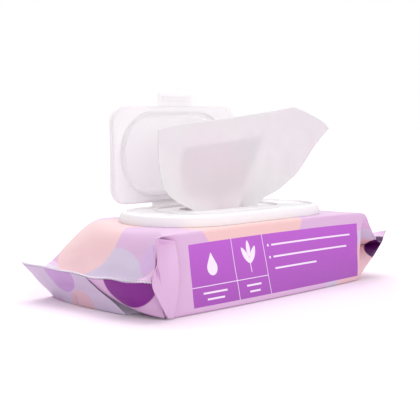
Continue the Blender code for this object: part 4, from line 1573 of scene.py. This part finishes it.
@dataclass
class FlipLid:
    """The moulded lid, modelled on its back with its inner face up, then stood behind the hinge line."""

    hinge: Point = (12.0, 43.5, 53.0)
    length: float = 121.0
    width: float = 68.2
    corner: float = 12.0
    root: float = 3.4
    face: float = 5.1
    plate: float = 1.2
    lip: float = 2.6
    lip_wall: float = 1.1
    bead_size: Pair = (104.0, 59.5)
    bead_wall: float = 1.3
    bead_height: float = 3.4
    dome_inset: float = 2.0
    dome_radius: float = 2.4
    dish: float = 3.2
    dish_inset: float = 3.0
    dish_radius: float = 2.2
    join: float = 0.5
    tab_width: float = 33.0
    tab_reach: float = 9.7
    tab_thickness: float = 1.2
    rib_size: Pair = (1.0, 1.6)
    rib_places: Pair = (0.35, 0.62)
    rib_inset: float = 6.0
    strap_width: float = 43.4
    strap_foot: Pair = (1.4, 0.7)
    strap_riser: Pair = (2.7, 1.1)
    edge_radius: float = 0.28

    def build(self, material: bpy.types.Material) -> None:
        """Build and dress the lid.

        Args:
            material: Material of the lid.
        """
        middle = self.root + self.width / 2
        floor = -self.face
        back = floor - self.plate
        size = (self.length, self.width, self.plate + self.lip)
        shell = add_block("flip_lid_shell", size, (0, middle, back), self.corner, 14)
        step_face(shell, True, ((self.lip_wall, 0.0), (0.25, -self.lip + 0.3), (0.5, -0.3)))
        length, width = [side - self.dome_inset for side in self.bead_size]
        dome = add_oval("dome", length, width, (0, middle, back - self.dish), self.dish + 0.6, 128)
        self.round_foot(dome, self.dome_radius)
        cut_or_join(shell, dome, "UNION")
        foot = (0, middle, floor - self.join)
        bead = add_oval("bead", *self.bead_size, foot, self.bead_height + self.join, 128)
        cut_or_join(shell, bead, "UNION")
        length, width = [side - 2 * self.bead_wall for side in self.bead_size]
        hollow = add_oval("bead_tool", length, width, (0, middle, floor - 0.2), 6.0, 128)
        cut_or_join(shell, hollow, "DIFFERENCE")
        foot = (0, middle, floor - self.dish)
        inset = self.dish_inset
        well = add_oval("dish_tool", length - inset, width - inset, foot, self.dish + 1.0, 128)
        self.round_foot(well, self.dish_radius)
        cut_or_join(shell, well, "DIFFERENCE")
        self.add_tab(shell, back)
        self.add_strap(shell, back)
        soften(shell, self.edge_radius)
        self.stand_up(shell)
        finish_piece(shell, material, Body.LID, Slot.PLASTIC, "flip_lid")

    def round_foot(self, item: bpy.types.Object, radius: float) -> None:
        """Round the lower edge of a prism.

        Args:
            item: Object to change.
            radius: Width of the rounding, in millimetres.
        """
        make_active(item)
        low = min(point.co.z for point in item.data.vertices)
        bpy.ops.object.mode_set(mode="EDIT")
        pick_edges(item, lambda edge: all(point.co.z < low + LEVEL_SLACK for point in edge.verts))
        bpy.ops.mesh.bevel(offset=mm(radius), segments=5, affect="EDGES")
        bpy.ops.object.mode_set(mode="OBJECT")

    def add_tab(self, shell: bpy.types.Object, back: float) -> None:
        """Join the finger tab, with a rib across it and a groove at its foot.

        Args:
            shell: The lid so far, lying on its back.
            back: Level of the lid's outer face, in millimetres.
        """
        edge = self.root + self.width
        low = back + 1.0
        size = (self.tab_width, self.tab_reach + 2 * self.join, self.tab_thickness)
        tab = add_block("tab", size, (0, edge + self.tab_reach / 2 - self.join, low), 2.0, 4)
        cut_or_join(shell, tab, "UNION")
        wide, tall = self.rib_size
        for place in self.rib_places:
            centre = (0, edge + self.tab_reach * place, low + self.join)
            rib = add_block("tab_rib", (self.tab_width - self.rib_inset, wide, tall), centre, 0.45, 3)
            cut_or_join(shell, rib, "UNION")

    def add_strap(self, shell: bpy.types.Object, back: float) -> None:
        """Join the strap that folds at the hinge line and runs to the lid's lower edge.

        Args:
            shell: The lid so far, lying on its back.
            back: Level of the lid's outer face, in millimetres.
        """
        deep, above = self.strap_foot
        foot = add_block("strap_foot", (self.strap_width, deep, above - back), (0, 0.0, back), 0.2, 2)
        cut_or_join(shell, foot, "UNION")
        reach, thick = self.strap_riser
        size = (self.strap_width, self.root + reach, thick)
        riser = add_block("strap_riser", size, (0, (self.root + 1.3) / 2, back + 0.03), 0.3, 2)
        cut_or_join(shell, riser, "UNION")

    def stand_up(self, shell: bpy.types.Object) -> None:
        """Turn the lid a quarter turn about the hinge line and put it in its place.

        Args:
            shell: The finished lid, lying on its back.
        """
        make_active(shell)
        turn = Matrix.Translation(mm_point(*self.hinge)) @ Matrix.Rotation(math.radians(90.0), 4, "X")
        shell.data.transform(turn)
        shell.data.update()


# ---------------------------------------------------------------- drawn-out wipe
@dataclass
class DrawnWipe:
    """The wipe that stands out of the opening: gathered at its root, fanned out, doubled behind."""

    left_edge: tuple[Point, ...] = (
        (-14.0, -3.0, 47.2), (-16.5, -3.5, 52.0), (-21.5, 0.5, 56.0), (-29.5, 6.0, 61.2),
        (-37.4, 8.0, 69.6), (-40.0, 9.0, 80.0), (-40.4, 9.5, 94.0), (-40.0, 9.0, 108.0),
    )
    right_edge: tuple[Point, ...] = (
        (36.0, -3.0, 47.2), (40.0, -3.0, 52.0), (47.0, 0.0, 55.6), (56.0, 2.5, 58.3), (71.1, 2.0, 62.8),
        (81.0, 1.0, 68.3), (91.3, -1.0, 75.8), (105.9, -3.0, 93.0), (113.5, -4.0, 100.4),
        (121.0, -5.0, 107.4),
    )
    top_edge: tuple[Point, ...] = (
        (-40.0, 9.0, 108.0), (-27.5, 9.5, 110.4), (-2.0, 8.5, 113.0), (16.6, 6.5, 114.6),
        (27.0, 5.0, 115.8), (49.0, 1.0, 118.9), (71.0, -1.0, 121.8), (82.0, -2.0, 122.8),
        (98.0, -3.0, 118.0), (113.0, -4.4, 112.2), (121.0, -5.0, 107.4),
    )
    gather: tuple[float, float, float] = (2.2, 2.3, 0.1)
    gather_share: float = 1.5
    gather_fade: float = 1.6
    broad_wave: tuple[float, float, float] = (4.0, 0.9, 0.05)
    slant_wave: tuple[float, float, float] = (1.3, 2.6, -0.7)
    fold_reach: Pair = (0.16, 0.46)
    fold_middle: float = 0.39
    fold_spread: float = 0.10
    fold_drop: Pair = (0.80, 0.78)
    fold_gap: Pair = (0.9, 1.4)
    thickness: float = 0.35
    columns: int = 120
    rows: int = 64
    flat: Pair = (0.150, 0.200)
    drawn_area: float = 0.0120

    def place(self, across: float, up: float) -> Vector:
        """Return a point of the sheet, by its shares from left to right and from root to top edge.

        Args:
            across: Share of the way from the left edge to the right edge.
            up: Share of the way from the root to the top edge.

        Returns:
            The place in millimetres.
        """
        left = along_curve(self.left_edge, up)
        right = along_curve(self.right_edge, up)
        top = along_curve(self.top_edge, across)
        foot = Vector(self.left_edge[0]).lerp(Vector(self.right_edge[0]), across)
        corners = Vector(self.left_edge[-1]).lerp(Vector(self.right_edge[-1]), across)
        sides = left.lerp(right, across)
        ends = foot.lerp(top, up)
        plain = foot.lerp(corners, up)
        point = sides + ends - plain
        point.y += self.wave(across, up)
        return point

    def wave(self, across: float, up: float) -> float:
        """Return how far the sheet waves to and fro: in pleats at its root, broadly at its top.

        Args:
            across: Share of the way from the left edge to the right edge.
            up: Share of the way from the root to the top edge.

        Returns:
            Distance along Y in millimetres.
        """
        full = 2 * math.pi
        height, turns, start = self.gather
        gathered = max(0.0, 1 - up * self.gather_share) ** self.gather_fade
        pleats = height * gathered * math.cos(full * (turns * across + start))
        height, turns, start = self.broad_wave
        broad = height * up * math.sin(full * (turns * across + start)) * (0.4 + 0.6 * up)
        height, turns, slant = self.slant_wave
        slanted = height * math.sin(full * (turns * across + slant * up)) * up * (1 - up * 0.6)
        return pleats + broad + slanted

    def sheet_rows(self) -> list[list[Vector]]:
        """Return rows of points over the sheet, from its root to its top edge."""
        shares = [column / self.columns for column in range(self.columns + 1)]
        return [[self.place(share, step / self.rows) for share in shares] for step in range(self.rows + 1)]

    def build(self, material: bpy.types.Material) -> None:
        """Build and dress the sheet and its doubled fold.

        Args:
            material: Material of the cloth.
        """
        sheet = grid_object("drawn_wipe", self.sheet_rows(), False)
        fold = grid_object("fold_behind", self.fold_rows(), False)
        make_active(sheet)
        fold.select_set(True)
        bpy.ops.object.join()
        modifier = sheet.modifiers.new("cloth_thickness", "SOLIDIFY")
        modifier.thickness = mm(self.thickness)
        modifier.offset = 0.0
        bpy.ops.object.modifier_apply(modifier=modifier.name)
        sheet.data.shade_smooth()
        finish_piece(sheet, material, Body.PACK, Slot.CLOTH, "pulled_wipe")
        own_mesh(sheet)

    def fold_rows(self) -> list[list[Vector]]:
        """Return rows of the layer that is folded down behind the sheet.

        Returns:
            Rows of places in millimetres.
        """
        steps, columns = 40, 60
        first, reach = self.fold_reach
        high, drop = self.fold_drop
        near, far = self.fold_gap
        rows = []
        for step in range(steps + 1):
            down = step / steps
            spread = 1 + self.fold_spread * math.sin(math.pi * down)
            row = []
            for column in range(columns + 1):
                across = first + reach * column / columns
                wide = self.fold_middle + (across - self.fold_middle) * spread
                point = self.place(wide, high - drop * down)
                point.y += near + far * math.sin(math.pi * min(1.0, down * 1.1)) ** 0.7
                row.append(point)
            rows.append(row)
        return rows


# ---------------------------------------------------------------- studio
@dataclass(frozen=True)
class SoftLamp:
    """A square soft lamp: its place and aim in millimetres, its size in metres and its power in watts."""

    name: str
    place: Point
    aim: Point
    size: float
    power: float

    def build(self) -> None:
        """Add the lamp to the scene."""
        data = bpy.data.lights.new(self.name, "AREA")
        data.shape = "SQUARE"
        data.size = self.size
        data.energy = self.power
        lamp = bpy.data.objects.new(self.name, data)
        lamp.location = mm_point(*self.place)
        direction = mm_point(*self.aim) - lamp.location
        lamp.rotation_euler = direction.to_track_quat("-Z", "Y").to_euler()
        bpy.context.scene.collection.objects.link(lamp)


@dataclass
class Studio:
    """A pale floor, soft lamps and the camera of the photograph."""

    camera_place: Point = (-491.8, -464.6, 118.0)
    heading: Pair = (0.7252, 0.6885)
    pitch: float = 5.46
    lens: float = 85.76
    sensor: float = 36.0
    world_strength: float = 0.62
    floor_size: float = 12.0
    floor_level: float = -0.2
    # Pink floor colour: painted bounce light from the film, seen in the shadow; elsewhere the glow clips it
    # to white.
    floor_colour_painted_bounce: Point = (0.88, 0.76, 0.86)
    floor_roughness: float = 0.9
    floor_shine: float = 0.1
    glow_reach: Pair = (120.0, 300.0)
    glow: Pair = (0.08, 0.6)
    lamps: tuple[SoftLamp, ...] = (
        SoftLamp("overhead_softbox", (150.0, 250.0, 900.0), (0.0, 0.0, 30.0), 0.9, 6.8),
        SoftLamp("front_fill", (-300.0, -900.0, 420.0), (0.0, 0.0, 50.0), 0.8, 3.0),
    )

    def add_camera(self) -> None:
        """Add the camera at the photograph's angle."""
        data = bpy.data.cameras.new("photo_camera")
        data.lens = self.lens
        data.sensor_width = self.sensor
        camera = bpy.data.objects.new("photo_camera", data)
        tilt = math.radians(self.pitch)
        level_x, level_y = [share * math.cos(tilt) for share in self.heading]
        look = Vector((level_x, level_y, -math.sin(tilt)))
        camera.location = mm_point(*self.camera_place)
        camera.rotation_euler = look.to_track_quat("-Z", "Y").to_euler()
        bpy.context.scene.collection.objects.link(camera)
        bpy.context.scene.camera = camera

    def add_world(self) -> None:
        """Light the scene evenly, and show white behind it."""
        world = bpy.data.worlds.new("soft_white_room")
        world.use_nodes = True
        bpy.context.scene.world = world
        tree = world.node_tree
        background = tree.nodes["Background"]
        background.inputs["Color"].default_value = (1.0, 1.0, 1.0, 1.0)
        seen = add_node(tree, "ShaderNodeLightPath")
        first = add_node(
            tree, "ShaderNodeMath",
            {0: seen.outputs["Is Camera Ray"], 1: seen.outputs["Is Glossy Ray"]}, operation="MAXIMUM",
        )
        shown = add_node(
            tree, "ShaderNodeMath",
            {0: first.outputs[0], 1: seen.outputs["Is Transmission Ray"]}, operation="MAXIMUM",
        )
        strength = add_node(
            tree, "ShaderNodeMapRange",
            {"Value": shown.outputs[0], "To Min": self.world_strength, "To Max": 1.0},
        )
        tree.links.new(strength.outputs[0], background.inputs["Strength"])

    def add_floor(self) -> None:
        """Add a broad white floor that keeps the object's shadow, tinted pink there as painted bounce
        light, glowing only where it is far away.
        """
        clear_selection()
        level = mm_point(0.0, 0.0, self.floor_level)
        bpy.ops.mesh.primitive_plane_add(size=self.floor_size, location=level)
        floor = bpy.context.object
        floor.name = "studio_floor"
        material, tree, shader = new_material("white_studio_floor")
        shader.inputs["Base Color"].default_value = (*self.floor_colour_painted_bounce, 1.0)
        shader.inputs["Roughness"].default_value = self.floor_roughness
        shader.inputs["Specular IOR Level"].default_value = self.floor_shine
        seen = add_node(tree, "ShaderNodeLightPath").outputs["Is Camera Ray"]
        place = add_node(tree, "ShaderNodeTexCoord").outputs["Object"]
        away = add_node(tree, "ShaderNodeVectorMath", {0: place}, operation="LENGTH").outputs["Value"]
        near, far = self.glow_reach
        low, high = self.glow
        spread = add_node(
            tree, "ShaderNodeMapRange",
            {"Value": away, "From Min": mm(near), "From Max": mm(far), "To Min": low, "To Max": high},
        )
        glow = add_node(tree, "ShaderNodeMath", {0: seen, 1: spread.outputs[0]}, operation="MULTIPLY")
        shader.inputs["Emission Color"].default_value = (1.0, 1.0, 1.0, 1.0)
        tree.links.new(glow.outputs[0], shader.inputs["Emission Strength"])
        floor.data.materials.append(material)

    def build(self) -> None:
        """Build the whole studio."""
        bpy.context.scene.view_settings.view_transform = "Standard"
        self.add_camera()
        self.add_world()
        self.add_floor()
        for lamp in self.lamps:
            lamp.build()


# Round fields of the print, and one dark field of painted shade in the right end's near tuck.
PRINT_AND_TUCK_SHADE_FIELDS = (
    FilmBlob((-124.0, -4.0, 12.0), 43.0, "#D5C8DE"),
    FilmBlob((-120.0, 48.0, 14.0), 24.0, "#D5C8DE"),
    FilmBlob((-84.0, 27.0, 38.0), 28.5, "#EFC9CC"),
    FilmBlob((-55.0, 15.0, 60.0), 30.0, "#EFC9CC"),
    FilmBlob((-104.0, -36.0, 39.0), 15.0, "#D9B6E4"),
    FilmBlob((-114.0, 24.0, 19.0), 13.0, "#C9A2D6"),
    FilmBlob((-110.0, 10.0, -2.0), 13.0, "#E3BFC9"),
    FilmBlob((-11.0, -40.0, 72.0), 55.0, "#F0C6C4"),
    FilmBlob((100.0, -52.0, -14.0), 50.0, "#D3C4DC"),
    FilmBlob((106.0, -52.0, -16.0), 44.0, "#E8BFC6"),
    # Painted shade: the deep near tuck at the right end, a dark purple ball of colour.
    FilmBlob((121.5, -53.0, 17.5), 11.5, "#4A0052"),
)
FLAP_FIELDS = (FilmBlob((-106.0, -36.0, 25.0), 19.0, "#80008A"),)
THIN_PLASTIC = MouldedPlastic("thin_white_polypropylene", "#F7F4F6", scatter=0.9, scatter_mm=9.0)


def dress_node(name: str, material: bpy.types.Material) -> None:
    """Give a CAD node that stays in view its material.

    Args:
        name: Name of the node.
        material: Its material.
    """
    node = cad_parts[name]
    node.data.materials.clear()
    node.data.materials.append(material)
    LOG.info("%s: dressed", name)


def main() -> None:
    """Build every class in order."""
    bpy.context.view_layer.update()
    Studio().build()
    FilmWrapper().build(LaminatedFilm(blobs=PRINT_AND_TUCK_SHADE_FIELDS), LaminatedFilm(blobs=FLAP_FIELDS))
    DispenserBase().build(MouldedPlastic().build())
    FlipLid().build(THIN_PLASTIC.build())
    DrawnWipe().build(Nonwoven().build())
    dress_node("wipe_stack", Nonwoven("stacked_nonwoven", alpha=1.0).build())
    dress_node("lid_adhesive", ClearAdhesive().build())


if __name__ == "__main__":
    main()
